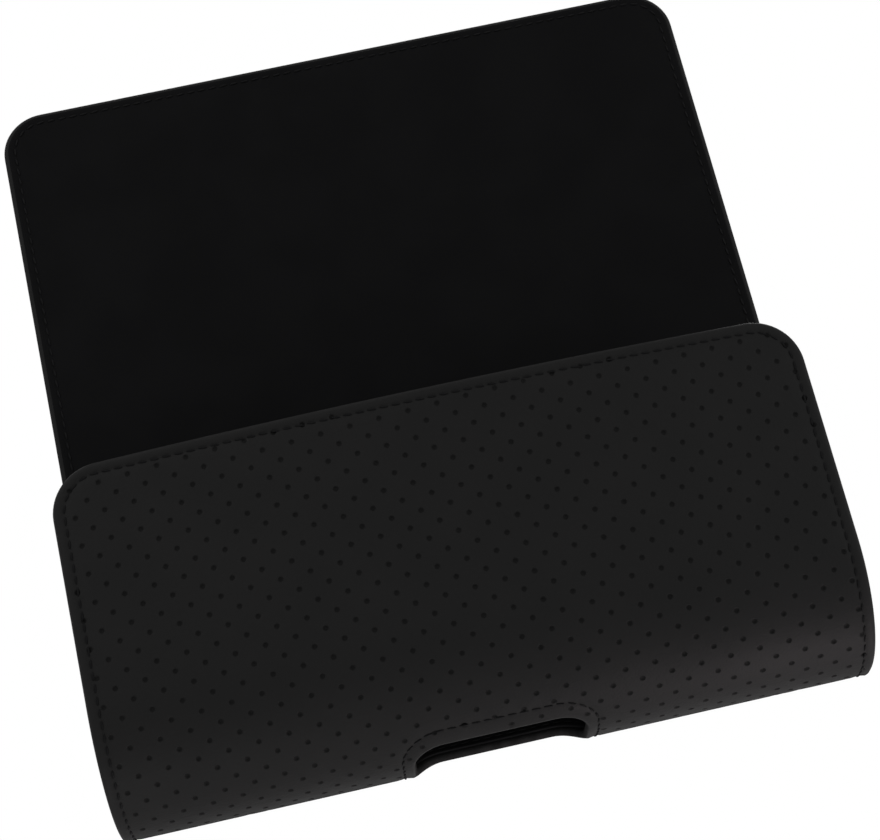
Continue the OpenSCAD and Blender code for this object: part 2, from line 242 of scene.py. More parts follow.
class Bench:
    """Adds nodes to one tree and joins them, so that a rule reads as plain arithmetic."""

    COLUMNS = 12
    SPACING = (190, -230)

    def __init__(self, tree: bpy.types.NodeTree) -> None:
        """Keeps the tree that nodes are added to.

        Args:
            tree: a shader or geometry node tree.
        """
        self.tree = tree
        self.count = 0

    def add(self, kind: str, inputs: dict[str | int, Any] | None = None, **settings: Any
            ) -> bpy.types.Node:
        """Adds a node, sets its properties and feeds its inputs.

        Args:
            kind: the node's full type name.
            inputs: a socket or a plain value for each input, by name or number.
            settings: properties of the node, by name.

        Returns:
            The new node.
        """
        node = self.tree.nodes.new(kind)
        row, column = divmod(self.count, self.COLUMNS)
        node.location = (self.SPACING[0] * column, self.SPACING[1] * row)
        self.count += 1
        for name, value in settings.items():
            setattr(node, name, value)
        for key, value in (inputs or {}).items():
            self.feed(node.inputs[key], value)
        return node

    def feed(self, socket: bpy.types.NodeSocket, value: Any) -> None:
        """Joins a socket to another one, or gives it a plain value.

        Args:
            socket: the input to set.
            value: an output socket, a number, or a tuple of numbers.
        """
        if isinstance(value, bpy.types.NodeSocket):
            self.tree.links.new(value, socket)
        else:
            socket.default_value = value

    def math(self, operation: str, *values: Any, clamp: bool = False) -> bpy.types.NodeSocket:
        """Adds one arithmetic step on numbers.

        Args:
            operation: the Math node's operation.
            values: its inputs, as sockets or numbers.
            clamp: whether the result is held between 0 and 1.

        Returns:
            The result's socket.
        """
        return self.add("ShaderNodeMath", dict(enumerate(values)), operation=operation,
                        use_clamp=clamp).outputs[0]

    def vector(self, operation: str, *values: Any) -> bpy.types.NodeSocket:
        """Adds one arithmetic step on vectors.

        Args:
            operation: the Vector Math node's operation.
            values: its inputs; for SCALE the second one is the factor.

        Returns:
            The result's socket.
        """
        keys = (0, "Scale") if operation == "SCALE" else range(len(values))
        node = self.add("ShaderNodeVectorMath", dict(zip(keys, values)), operation=operation)
        return node.outputs["Value" if operation == "LENGTH" else "Vector"]

    def split(self, vector: Any) -> Any:
        """Returns the sockets of a vector's three parts."""
        return self.add("ShaderNodeSeparateXYZ", {0: vector}).outputs

    def join(self, *parts: Any) -> bpy.types.NodeSocket:
        """Returns the socket of a vector made of three parts."""
        return self.add("ShaderNodeCombineXYZ", dict(enumerate(parts))).outputs[0]

    def noise(self, place: Any, scale: Any, detail: float) -> bpy.types.NodeSocket:
        """Returns the socket of a noise pattern's strength."""
        return self.add("ShaderNodeTexNoise",
                        {"Vector": place, "Scale": scale, "Detail": detail}).outputs["Fac"]

    def mark(self, name: str) -> bpy.types.NodeSocket:
        """Returns the socket of a point attribute in a geometry tree."""
        return self.add("GeometryNodeInputNamedAttribute", {"Name": name},
                        data_type="FLOAT").outputs["Attribute"]

    def ramp(self, value: Any, low: float, high: float, out: tuple[float, float] = (0.0, 1.0)
             ) -> bpy.types.NodeSocket:
        """Turns a range of one value into a range of another, with eased ends.

        Args:
            value: the socket or number to turn.
            low: the value that gives out[0].
            high: the value that gives out[1].
            out: the range of the result.

        Returns:
            The result's socket.
        """
        names = ("Value", "From Min", "From Max", "To Min", "To Max")
        return self.add("ShaderNodeMapRange", dict(zip(names, (value, low, high, *out))),
                        interpolation_type="SMOOTHSTEP").outputs["Result"]

    def mix(self, factor: Any, first: Any, second: Any) -> bpy.types.NodeSocket:
        """Mixes two colours.

        Args:
            factor: the share of the second one.
            first: a colour or its socket.
            second: a colour or its socket.

        Returns:
            The mixed colour's socket.
        """
        inputs = {0: factor, 6: opaque(first), 7: opaque(second)}
        return self.add("ShaderNodeMix", inputs, data_type="RGBA").outputs[2]

    def dressed(self, shape: bpy.types.NodeSocket, inp: bpy.types.Node, out: bpy.types.Node
                ) -> bpy.types.NodeTree:
        """Ends a geometry tree: its geometry is made real and takes the material.

        Args:
            shape: the geometry's socket.
            inp: the tree's input node.
            out: the tree's output node.

        Returns:
            The tree.
        """
        real = self.add("GeometryNodeRealizeInstances", {"Geometry": shape}).outputs["Geometry"]
        dress = self.add("GeometryNodeSetMaterial",
                         {"Geometry": real, "Material": inp.outputs["Material"]})
        self.feed(out.inputs["Geometry"], dress.outputs["Geometry"])
        return self.tree


def opaque(color: Any) -> Any:
    """Returns a plain colour with its alpha of 1, or a colour's socket as it is."""
    return color if isinstance(color, bpy.types.NodeSocket) else (*color, 1.0)


def new_group(name: str, kind: str, inputs: Sequence[tuple[str, str, Any]],
              outputs: Sequence[tuple[str, str]]) -> tuple[Bench, Any, Any]:
    """Starts a node group with named sockets.

    Args:
        name: the group's name.
        kind: ShaderNodeTree or GeometryNodeTree.
        inputs: (name, socket type, value or None) of each input.
        outputs: (name, socket type) of each output.

    Returns:
        Its bench, its input node and its output node.
    """
    tree = bpy.data.node_groups.new(name, kind)
    for title, socket_type, value in inputs:
        item = tree.interface.new_socket(name=title, in_out="INPUT", socket_type=socket_type)
        if value is not None:
            item.default_value = value
    for title, socket_type in outputs:
        tree.interface.new_socket(name=title, in_out="OUTPUT", socket_type=socket_type)
    bench = Bench(tree)
    return bench, bench.add("NodeGroupInput"), bench.add("NodeGroupOutput")


def add_modifier(obj: bpy.types.Object, tree: bpy.types.NodeTree, values: dict[str, Any]) -> None:
    """Adds a Geometry Nodes modifier and sets its inputs by their sockets' identifiers.

    Args:
        obj: the object.
        tree: the geometry node tree.
        values: the input values, by the socket's name.
    """
    modifier = obj.modifiers.new(tree.name, "NODES")
    modifier.node_group = tree
    left = dict(values)
    for item in tree.interface.items_tree:
        if item.item_type == "SOCKET" and item.in_out == "INPUT" and item.name in left:
            modifier[item.identifier] = left.pop(item.name)
    if left:
        raise ValueError(f"{tree.name} has no inputs {sorted(left)}")


class Trees:
    """Geometry node trees that shape flat patterns, each built once."""

    BEAD = {"Segments": 8, "Rings": 6, "Radius": 0.5}

    @staticmethod
    @cache
    def wrap() -> bpy.types.NodeTree:
        """Embosses a flat pattern and bends it along a profile.

        Returns:
            The tree.
        """
        b, inp, out = new_group(
            "wrapped_pattern", "GeometryNodeTree",
            [("Geometry", GEOMETRY, None), ("Profile", "NodeSocketObject", None),
             ("Across", VECTOR, (1.0, 0.0, 0.0)), ("Swell Axis", NUMBER, 1.0),
             ("Swell Start", NUMBER, -10.0), ("Swell Fade", NUMBER, 1.0),
             ("Dimple Pitch", NUMBER, 0.0066), ("Row Pitch", NUMBER, 0.0033),
             ("Row Lean", NUMBER, 0.0), ("Lattice Start", VECTOR, None),
             ("Dimple Radius", NUMBER, 0.0008), ("Dimple Bottom", NUMBER, 0.6),
             ("Dimple Depth", NUMBER, 0.0), ("Groove Depth", NUMBER, 0.0),
             ("Material", MATERIAL, None)],
            [("Geometry", GEOMETRY)])
        given = inp.outputs
        start, pitch, row_pitch = (given[n] for n in ("Lattice Start", "Dimple Pitch",
                                                      "Row Pitch"))
        flat = b.add("GeometryNodeInputPosition").outputs[0]
        x, s, h = b.split(flat)

        # Distance from the nearest dimple of the staggered, leaning lattice
        turned = b.add("ShaderNodeVectorRotate",
                       {"Vector": flat, "Center": start,
                        "Angle": b.math("MULTIPLY", given["Row Lean"], -1.0)},
                       rotation_type="Z_AXIS").outputs[0]
        u, v, _ = b.split(b.vector("SUBTRACT", turned, start))
        row = b.math("ROUND", b.math("DIVIDE", v, row_pitch))
        shift = b.math("MULTIPLY", b.math("FLOORED_MODULO", row, 2.0),
                       b.math("MULTIPLY", pitch, 0.5))
        column = b.math("ROUND", b.math("DIVIDE", b.math("SUBTRACT", u, shift), pitch))
        du = b.math("SUBTRACT", u, b.math("MULTIPLY_ADD", column, pitch, shift))
        dv = b.math("SUBTRACT", v, b.math("MULTIPLY", row, row_pitch))
        square = b.math("ADD", b.math("MULTIPLY", du, du), b.math("MULTIPLY", dv, dv))
        share = b.math("DIVIDE", square, b.math("POWER", given["Dimple Radius"], 2.0))
        whole = b.math("SUBTRACT", 1.0, b.math("POWER", given["Dimple Bottom"], 2.0))
        bowl = b.math("DIVIDE", b.math("SUBTRACT", 1.0, share), whole, clamp=True)
        sunk = b.math("MULTIPLY", b.math("MULTIPLY", bowl, b.mark("emboss")),
                      given["Dimple Depth"])
        seam = b.math("MULTIPLY", b.mark("seam"), given["Groove Depth"])
        lift = b.math("SUBTRACT", b.math("SUBTRACT", h, sunk), seam)

        # Place on the profile
        guide = b.add("GeometryNodeObjectInfo", {"Object": given["Profile"]},
                      transform_space="ORIGINAL")
        sample = b.add("GeometryNodeSampleCurve",
                       {"Curves": guide.outputs["Geometry"], "Length": s},
                       mode="LENGTH", use_all_curves=True)
        along = b.vector("NORMALIZE", sample.outputs["Tangent"])
        outward = b.vector("CROSS_PRODUCT", along, given["Across"])
        spot = b.vector("ADD", sample.outputs["Position"],
                        b.vector("ADD", b.vector("SCALE", given["Across"], x),
                                 b.vector("SCALE", outward, lift)))

        # The swell turns the front about an upright axis and fades out in the bottom
        px, py, pz = b.split(spot)
        reach = b.math("SUBTRACT", given["Swell Axis"], py)
        chord = b.math("SQRT", b.math("SUBTRACT", b.math("MULTIPLY", reach, reach),
                                      b.math("MULTIPLY", px, px)))
        fade = b.math("DIVIDE", b.math("SUBTRACT", given["Swell Start"], py),
                      given["Swell Fade"], clamp=True)
        swelled = b.math("MULTIPLY_ADD", b.math("SUBTRACT", reach, chord), fade, py)
        move = b.add("GeometryNodeSetPosition",
                     {"Geometry": given["Geometry"], "Position": b.join(px, swelled, pz)})
        flip = b.add("GeometryNodeFlipFaces", {"Mesh": move.outputs["Geometry"]})
        return b.dressed(flip.outputs["Mesh"], inp, out)

    @staticmethod
    @cache
    def stitch() -> bpy.types.NodeTree:
        """Lays stitches along flat lines.

        Returns:
            The tree.
        """
        b, inp, out = new_group(
            "stitch_run", "GeometryNodeTree",
            [("Geometry", GEOMETRY, None), ("Pitch", NUMBER, 0.0027), ("Length", NUMBER, 0.002),
             ("Thickness", NUMBER, 0.0005), ("Lean", NUMBER, 0.1), ("Material", MATERIAL, None)],
            [("Geometry", GEOMETRY)])
        given = inp.outputs
        line = b.add("GeometryNodeMeshToCurve", {"Mesh": given["Geometry"]})
        spaced = b.add("GeometryNodeResampleCurve",
                       {"Curve": line.outputs["Curve"], "Length": given["Pitch"]}, mode="LENGTH")
        turn = b.add("FunctionNodeAlignRotationToVector",
                     {"Vector": b.add("GeometryNodeInputTangent").outputs[0]},
                     axis="X", pivot_axis="Z")
        lean = b.add("FunctionNodeAxisAngleToRotation",
                     {"Axis": (0.0, 0.0, 1.0), "Angle": given["Lean"]})
        leant = b.add("FunctionNodeRotateRotation",
                      {"Rotation": turn.outputs[0], "Rotate By": lean.outputs[0]},
                      rotation_space="LOCAL")
        bead = b.add("GeometryNodeMeshUVSphere", Trees.BEAD)
        lying = b.add("GeometryNodeTransform", {"Geometry": bead.outputs["Mesh"],
                                                "Rotation": (0.0, math.pi / 2, 0.0)})
        size = b.join(given["Length"], given["Thickness"], given["Thickness"])
        shaped = b.add("GeometryNodeTransform",
                       {"Geometry": lying.outputs["Geometry"], "Scale": size})
        laid = b.add("GeometryNodeInstanceOnPoints",
                     {"Points": spaced.outputs["Curve"], "Instance": shaped.outputs["Geometry"],
                      "Rotation": leant.outputs[0]})
        return b.dressed(laid.outputs["Instances"], inp, out)

    @staticmethod
    @cache
    def ribs() -> bpy.types.NodeTree:
        """Raises ribs on both faces of a flat band.

        Returns:
            The tree.
        """
        b, inp, out = new_group(
            "ribbed_band", "GeometryNodeTree",
            [("Geometry", GEOMETRY, None), ("Rib Pitch", NUMBER, 0.0013),
             ("Rib Height", NUMBER, 0.0002), ("Material", MATERIAL, None)],
            [("Geometry", GEOMETRY)])
        given = inp.outputs
        x, _, _ = b.split(b.add("GeometryNodeInputPosition").outputs[0])
        phase = b.math("MULTIPLY", b.math("DIVIDE", x, given["Rib Pitch"]), math.pi)
        wave = b.math("SUBTRACT", 1.0, b.math("ABSOLUTE", b.math("SINE", phase)))
        dip = b.math("MULTIPLY", b.math("MULTIPLY", wave, b.mark("seam")),
                     b.math("MULTIPLY", given["Rib Height"], -1.0))
        move = b.add("GeometryNodeSetPosition",
                     {"Geometry": given["Geometry"], "Offset": b.join(0.0, 0.0, dip)})
        return b.dressed(move.outputs["Geometry"], inp, out)


# Profiles and patterns


class Profile:
    """A path of straight and curved runs in a plane, in millimetres. Its right side is outside."""

    LINE_STEP = 2.0
    ARC_STEP = 0.25

    def __init__(self, start: tuple[float, float], heading: float) -> None:
        """Starts the path.

        Args:
            start: the first point.
            heading: the first direction, in degrees from the plane's first axis.
        """
        self.points: list[tuple[float, float]] = [start]
        self.heading = heading

    def line(self, length: float) -> "Profile":
        """Adds a straight run.

        Args:
            length: the run's length.

        Returns:
            The profile itself.
        """
        u, v = self.points[-1]
        a = math.radians(self.heading)
        count = max(1, round(length / self.LINE_STEP))
        for i in range(1, count + 1):
            d = length * i / count
            self.points.append((u + d * math.cos(a), v + d * math.sin(a)))
        return self

    def arc(self, radius: float, turn: float) -> "Profile":
        """Adds a curved run.

        Args:
            radius: the run's radius.
            turn: the angle that it turns through in degrees, to the left if positive.

        Returns:
            The profile itself.
        """
        u, v = self.points[-1]
        side = 1.0 if turn > 0 else -1.0
        a = math.radians(self.heading)
        cu, cv = u - side * radius * math.sin(a), v + side * radius * math.cos(a)
        count = max(4, round(radius * math.radians(abs(turn)) / self.ARC_STEP))
        for i in range(1, count + 1):
            b = a + math.radians(turn) * i / count
            self.points.append((cu + side * radius * math.sin(b),
                                cv - side * radius * math.cos(b)))
        self.heading += turn
        return self

    def length(self) -> float:
        """Returns the path's length."""
        p = np.array(self.points)
        return float(np.linalg.norm(np.diff(p, axis=0), axis=1).sum())

    def curve(self, name: str, place: Callable[[float, float], tuple[float, float, float]]
              ) -> bpy.types.Object:
        """Makes the path a curve that a wrap can follow.

        Args:
            name: the curve's name.
            place: turns a point of the plane into a place in space, in millimetres.

        Returns:
            The curve's object.
        """
        data = bpy.data.curves.new(name, "CURVE")
        data.dimensions = "3D"
        spline = data.splines.new("POLY")
        spline.points.add(len(self.points) - 1)
        for point, (u, v) in zip(spline.points, self.points):
            point.co = (*(MM * c for c in place(u, v)), 1.0)
        return linked(name, data)


def linked(name: str, data: Any) -> bpy.types.Object:
    """Makes an object and links it to the scene.

    Args:
        name: the object's name.
        data: its mesh, curve, camera or light.

    Returns:
        The object.
    """
    obj = bpy.data.objects.new(name, data)
    bpy.context.scene.collection.objects.link(obj)
    return obj


@dataclass
class Run:
    """A run of a pattern's outline: its points, and the directions into the material."""

    points: np.ndarray
    inward: np.ndarray
    closed: bool

    def offset(self, inset: float) -> np.ndarray:
        """Returns the run's points moved into the material by an inset."""
        return self.points + inset * self.inward

    def moved(self, inset: float) -> "Run":
        """Returns the run moved into the material by an inset."""
        return Run(self.offset(inset), self.inward, self.closed)


def straight(a: Sequence[float], b: Sequence[float], inward: Sequence[float], step: float
             ) -> tuple[list, list]:
    """Points from a up to b, without b.

    Args:
        a: the first point.
        b: the point after the last one.
        inward: the direction into the material.
        step: the spacing wanted.

    Returns:
        The points and their inward directions.
    """
    count = max(1, round(math.dist(a, b) / step))
    share = [i / count for i in range(count)]
    return [[a[0] + (b[0] - a[0]) * t, a[1] + (b[1] - a[1]) * t] for t in share], \
        [list(inward)] * count


def corner(cx: float, cy: float, radius: float, a0: float, a1: float, step: float
           ) -> tuple[list, list]:
    """Points round a convex corner of an outline, without the last one.

    Args:
        cx: the centre's first coordinate.
        cy: the centre's second coordinate.
        radius: the corner's radius.
        a0: the first angle in degrees.
        a1: the angle after the last one.
        step: the spacing wanted.

    Returns:
        The points and their inward directions.
    """
    count = max(4, round(radius * math.radians(abs(a1 - a0)) / step))
    points, inward = [], []
    for i in range(count):
        a = math.radians(a0 + (a1 - a0) * i / count)
        points.append([cx + radius * math.cos(a), cy + radius * math.sin(a)])
        inward.append([-math.cos(a), -math.sin(a)])
    return points, inward


def join_runs(parts: Iterable[tuple[list, list]], closed: bool,
              last: tuple[list, list] | None = None) -> Run:
    """Joins pieces of an outline into one run.

    Args:
        parts: the pieces, each without its last point.
        closed: whether the run ends where it starts.
        last: the last point and its direction, for an open run.

    Returns:
        The run.
    """
    points: list = []
    inward: list = []
    for p, n in parts:
        points += p
        inward += n
    if last:
        points.append(last[0])
        inward.append(last[1])
    return Run(np.array(points, float), np.array(inward, float), closed)


def loop_run(half: float, s0: float, s1: float, r0: float, r1: float, step: float) -> Run:
    """A closed outline with rounded corners.

    Args:
        half: half its width.
        s0: where it starts along the pattern.
        s1: where it ends.
        r0: radius of the corners at s0.
        r1: radius of the corners at s1.
        step: the spacing wanted.

    Returns:
        The run.
    """
    return join_runs([
        straight((half, s0 + r0), (half, s1 - r1), (-1, 0), step),
        corner(half - r1, s1 - r1, r1, 0, 90, step),
        straight((half - r1, s1), (r1 - half, s1), (0, -1), step),
        corner(r1 - half, s1 - r1, r1, 90, 180, step),
        straight((-half, s1 - r1), (-half, s0 + r0), (1, 0), step),
        corner(r0 - half, s0 + r0, r0, 180, 270, step),
        straight((r0 - half, s0), (half - r0, s0), (0, 1), step),
        corner(half - r0, s0 + r0, r0, 270, 360, step),
    ], True)


def inside(points: np.ndarray, polygon: np.ndarray) -> np.ndarray:
    """Tells which points lie inside a polygon.

    Args:
        points: the points, one a row.
        polygon: the polygon's corners.

    Returns:
        A mask of the points.
    """
    x, y = points[:, 0], points[:, 1]
    result = np.zeros(len(points), bool)
    ax, ay = polygon[:, 0], polygon[:, 1]
    bx, by = np.roll(ax, -1), np.roll(ay, -1)
    for x0, y0, x1, y1 in zip(ax, ay, bx, by):
        if y0 == y1:
            continue
        cross = (y0 > y) != (y1 > y)
        result ^= cross & (x < (x1 - x0) * (y - y0) / (y1 - y0) + x0)
    return result


class FlatPattern:
    """A closed sheet cut flat, in millimetres: x across, y along the profile, z out of its face.

    Its points carry marks: emboss where dimples sink, seam where a groove pulls (-1 on the inner
    face), and a painted-shade mark, which is 1 in a dimple and WALL on the wall of a hole from
    WALL_RING on, where the leather's colour is darkened with painted shade.
    """

    WALL = 2.0
    WALL_RING = 2
    FAR = 1e6
    MERGE = 1e-6
    THINNEST = 1e-9
    PARTS = (0.0, 0.25, 0.5, 0.75)
    DIMPLE_CLEAR = 0.3
    RAIL_CLEAR = 0.12
    POINT_GAP = 0.6
    RAIL_STEP = 0.75
    SEAM_STEP = 1.75
    SEAM_CLEAR = 0.35
    TRACE_STEP = 0.2
    PULL_REACH = 2.2
    PULL_POWER = 1.5
    EDGE_FADE = 1.6

    def __init__(self, outer: Run, holes: Sequence[Run], rim: Sequence[tuple[float, float]],
                 puff: float = 0.0) -> None:
        """Keeps the outline and the shape of the edge.

        Args:
            outer: the outer outline; an open one ends at a straight seam.
            holes: the outlines of the holes.
            rim: (inset, height) of each ring round the edge, from the outer to the inner face.
            puff: how far the first ring stands above the rest of the outer face.
        """
        self.outer = outer
        self.holes = list(holes)
        self.rim = list(rim)
        self.puff = puff
        self.outer_points: list[np.ndarray] = []
        self.inner_points: list[np.ndarray] = []
        self.dimples = np.zeros((0, 2))
        self.seams: list[np.ndarray] = []
        self.tree = KDTree(sum(len(r.points) for r in [outer, *self.holes]) * len(self.PARTS))
        index = 0
        for run in [outer, *self.holes]:
            nxt = np.roll(run.points, -1, axis=0) if run.closed else run.points[1:]
            base = run.points if run.closed else run.points[:-1]
            for t in self.PARTS:
                for p in base + t * (nxt - base):
                    self.tree.insert((p[0], p[1], 0.0), index)
                    index += 1
        self.tree.balance()

    def reach(self, points: np.ndarray) -> np.ndarray:
        """Distance of points from the outline.

        Args:
            points: the points, one a row.

        Returns:
            The distances, negative outside the pattern.
        """
        away = np.array([self.tree.find((p[0], p[1], 0.0))[2] for p in points])
        within = inside(points, self.outer.points)
        for hole in self.holes:
            within &= ~inside(points, hole.points)
        return np.where(within, away, -away)

    def seam_gap(self, points: np.ndarray) -> np.ndarray:
        """Distance of points from the straight seam.

        Args:
            points: the points, one a row.

        Returns:
            The distances, which are FAR where the pattern has no seam.
        """
        if self.outer.closed:
            return np.full(len(points), self.FAR)
        a, along = self.outer.points[0], self.outer.points[-1] - self.outer.points[0]
        across = np.array([-along[1], along[0]]) / np.linalg.norm(along)
        return np.abs((points - a) @ across)

    def keep(self, points: np.ndarray, margin: float, seam: float = 0.5) -> np.ndarray:
        """Keeps the points that lie well inside the pattern.

        Args:
            points: the points, one a row.
            margin: the least distance from the outline.
            seam: the least distance from the seam.

        Returns:
            The points kept.
        """
        if not len(points):
            return points
        good = (self.reach(points) > margin) & (self.seam_gap(points) > seam)
        return points[good]

    def press(self, emboss: Emboss, margin: float) -> None:
        """Adds the dimples to the outer face, with the points that shape them.

        Args:
            emboss: the dimples' sizes.
            margin: the least distance of a dimple's middle from the outline.
        """
        spots = emboss.spots(self.outer.points.min(axis=0), self.outer.points.max(axis=0))
        wide = emboss.radius * emboss.collar
        self.dimples = self.keep(spots, margin, wide + self.DIMPLE_CLEAR)
        rings = [self.dimples]
        for radius, count, turn in ((emboss.radius, emboss.ring, 0.0),
                                    (emboss.radius * emboss.inner, emboss.ring, 0.5),
                                    (wide, emboss.ring, 0.0)):
            for i in range(count):
                a = 2 * math.pi * (i + turn) / count
                rings.append(self.dimples + radius * np.array([math.cos(a), math.sin(a)]))
        self.outer_points.append(np.vstack(rings))
        self.fill(spots + emboss.pitch / 2 * emboss.axes()[0], margin)

    def fill(self, points: np.ndarray, margin: float, inner: bool = False) -> None:
        """Adds plain points to a face, clear of the edge, of the dimples and of the seam's rows.

        Args:
            points: the points, one a row.
            margin: the least distance from the outline.
            inner: whether they are on the inner face.
        """
        kept = self.keep(points, margin)
        if not inner:
            kept = clear_of(kept, self.dimples, EMBOSS.radius * EMBOSS.collar + self.DIMPLE_CLEAR)
            for others in self.outer_points[1:]:
                kept = clear_of(kept, others, self.POINT_GAP)
        (self.inner_points if inner else self.outer_points).append(kept)

    def rails(self, lines: Sequence[Run], inner: bool = False) -> None:
        """Adds three rows of points along the seam lines, which their grooves are shaped with.

        Args:
            lines: the seam lines.
            inner: whether the groove is on the inner face.
        """
        rows = []
        for line in lines:
            self.seams.append(resample(line.points, line.closed, self.TRACE_STEP))
            for shift in (-STITCH.groove_w, 0.0, STITCH.groove_w):
                rows.append(resample(line.offset(shift), line.closed, self.RAIL_STEP))
        points = np.vstack(rows)
        if not self.outer.closed:
            points = points[self.seam_gap(points) > self.SEAM_CLEAR]
        if not inner:
            points = clear_of(points, self.dimples,
                              EMBOSS.radius * EMBOSS.collar + self.RAIL_CLEAR)
        target = self.inner_points if inner else self.outer_points
        first = 1 if len(self.dimples) and not inner else 0
        for k in range(first, len(target)):
            target[k] = clear_of(target[k], points, self.POINT_GAP)
        target.append(points)

    def build(self, name: str) -> bpy.types.Object:
        """Makes the flat sheet a mesh in metres.

        Args:
            name: the object's name.

        Returns:
            The object, with the point attributes that the wrap reads.
        """
        marks: dict[str, list[np.ndarray]] = {"emboss": [], "seam": [], "pit": []}

        def mark(count: int, **values: Any) -> None:
            """Writes the marks of the next points, which are 0 where no value is given."""
            for title, column in marks.items():
                column.append(np.zeros(count) + values.get(title, 0.0))

        runs = [self.outer, *self.holes]
        places: list[np.ndarray] = []
        insets: list[float] = []
        ring_ids: list[list[np.ndarray]] = []
        faces: list[Sequence[int]] = []
        total = 0
        for inset, height in self.rim:
            ids = []
            for run in runs:
                p = run.offset(inset)
                places.append(np.c_[p, np.full(len(p), height)])
                insets += [inset] * len(p)
                ids.append(np.arange(total, total + len(p)))
                total += len(p)
            ring_ids.append(ids)
        for low, high in zip(ring_ids, ring_ids[1:]):
            for run, a, c in zip(runs, low, high):
                count = len(a)
                for i in range(count if run.closed else count - 1):
                    j = (i + 1) % count
                    faces.append((a[i], a[j], c[j], c[i]))

        # Painted shade on the wall of a hole: its rings from WALL_RING on get the mark WALL
        wall = np.zeros(total)
        for ids in ring_ids[self.WALL_RING:]:
            for hole in ids[1:]:
                wall[hole] = self.WALL
        mark(total, pit=wall)
        seam_sides = []
        for level, extra, sign in ((0, self.outer_points, 1.0), (-1, self.inner_points, -1.0)):
            height = self.rim[level][1] - (self.puff if level == 0 else 0.0)
            loops = list(ring_ids[level])
            points = [np.vstack(places)[ids][:, :2] for ids in loops]
            numbers = list(loops)
            if not self.outer.closed:
                line, line_ids, total = self._seam_line(places, insets, loops[0], height, total)
                points[0] = np.vstack([points[0], line])
                numbers[0] = np.concatenate([numbers[0], line_ids])
                seam_sides.append(line_ids)
                mark(len(line))
            free = np.vstack(extra) if extra else np.zeros((0, 2))
            free_ids = np.arange(total, total + len(free))
            total += len(free)
            if len(free):
                places.append(np.c_[free, np.full(len(free), height)])
                insets += list(self.reach(free))
                near = gaps(free, np.vstack(self.seams)) if self.seams else self.FAR
                pull = np.clip(1.0 - near / (self.PULL_REACH * STITCH.groove_w), 0.0, 1.0)
                sunk, shade_mask = np.zeros(len(free)), np.zeros(len(free))
                if level == 0 and len(self.dimples):
                    n = len(self.dimples)
                    sunk[:len(self.outer_points[0])] = 1.0
                    # Painted shade: a dimple's middle and inner ring get the mark
                    shade_mask[:n] = 1.0
                    shade_mask[(1 + EMBOSS.ring) * n:(1 + 2 * EMBOSS.ring) * n] = 1.0
                mark(len(free), emboss=sunk, seam=sign * pull**self.PULL_POWER, pit=shade_mask)
            faces += self._face(points, numbers, free, free_ids, level == 0)
        if not self.outer.closed:
            faces.append(self._cap(ring_ids, seam_sides))

        mesh = bpy.data.meshes.new(name)
        mesh.from_pydata((np.vstack(places) * MM).tolist(), [], [list(map(int, f)) for f in faces])
        self._finish(mesh, {title: np.concatenate(column) for title, column in marks.items()},
                     np.array(insets))
        return linked(name, mesh)

    def _seam_line(self, places: list[np.ndarray], insets: list[float], ids: np.ndarray,
                   height: float, total: int) -> tuple[np.ndarray, np.ndarray, int]:
        """Adds the points along the straight seam at one face's level.

        Args:
            places: the pattern's points so far, added to.
            insets: their insets, added to.
            ids: the face's outer ring, whose ends the seam joins.
            height: the face's height.
            total: the number of points so far.

        Returns:
            The new points, their numbers and the new total.
        """
        every = np.vstack(places)
        a, c = every[ids[-1], :2], every[ids[0], :2]
        count = round(abs(a[0] - c[0]) / self.SEAM_STEP)
        line = np.array([a + (c - a) * i / count for i in range(1, count)])
        places.append(np.c_[line, np.full(len(line), height)])
        insets += list(np.abs(self.reach(line)))
        return line, np.arange(total, total + len(line)), total + len(line)

    def _face(self, loops: list[np.ndarray], numbers: list[np.ndarray], free: np.ndarray,
              free_ids: np.ndarray, outer: bool) -> list[tuple[int, ...]]:
        """Fills a face with triangles between its borders and its free points.

        Args:
            loops: the border loops' points.
            numbers: the border points' numbers.
            free: the points inside.
            free_ids: their numbers.
            outer: whether it is the outer face.

        Returns:
            The triangles.
        """
        points = np.vstack([*loops, free])
        index = np.concatenate([*numbers, free_ids])
        edges, start = [], 0
        for n in map(len, loops):
            edges += [(start + i, start + (i + 1) % n) for i in range(n)]
            start += n
        found = delaunay_2d_cdt([Vector(p) for p in points], edges, [], 1, self.MERGE)
        verts, tris, origin = found[0], found[2], found[3]
        spots = np.array([tuple(v) for v in verts])
        source = np.array([index[o[0]] if o else -1 for o in origin])
        tris = np.array([t for t in tris if len(t) == 3])
        middle = spots[tris].mean(axis=1)
        good = inside(middle, loops[0])
        for loop in loops[1:]:
            good &= ~inside(middle, loop)
        a, b, c = (spots[tris[:, k]] for k in range(3))
        (bx, by), (cx, cy) = (b - a).T, (c - a).T
        area = bx * cy - by * cx
        result = []
        for tri, ok, sign in zip(tris, good, area):
            if not ok or abs(sign) < self.THINNEST or (source[tri] < 0).any():
                continue
            t = source[tri]
            result.append(tuple(t if (sign > 0) == outer else t[::-1]))
        return result

    @staticmethod
    def _cap(ring_ids: list[list[np.ndarray]], sides: list[np.ndarray]) -> list[int]:
        """Closes the sheet at its seam.

        Args:
            ring_ids: the numbers of the rings round the edge.
            sides: the numbers of the seam's points on the outer and the inner face.

        Returns:
            One face's corners.
        """
        start = [ids[0][0] for ids in ring_ids]
        end = [ids[0][-1] for ids in ring_ids]
        return [*start, *sides[1][::-1], *end[::-1], *sides[0]]

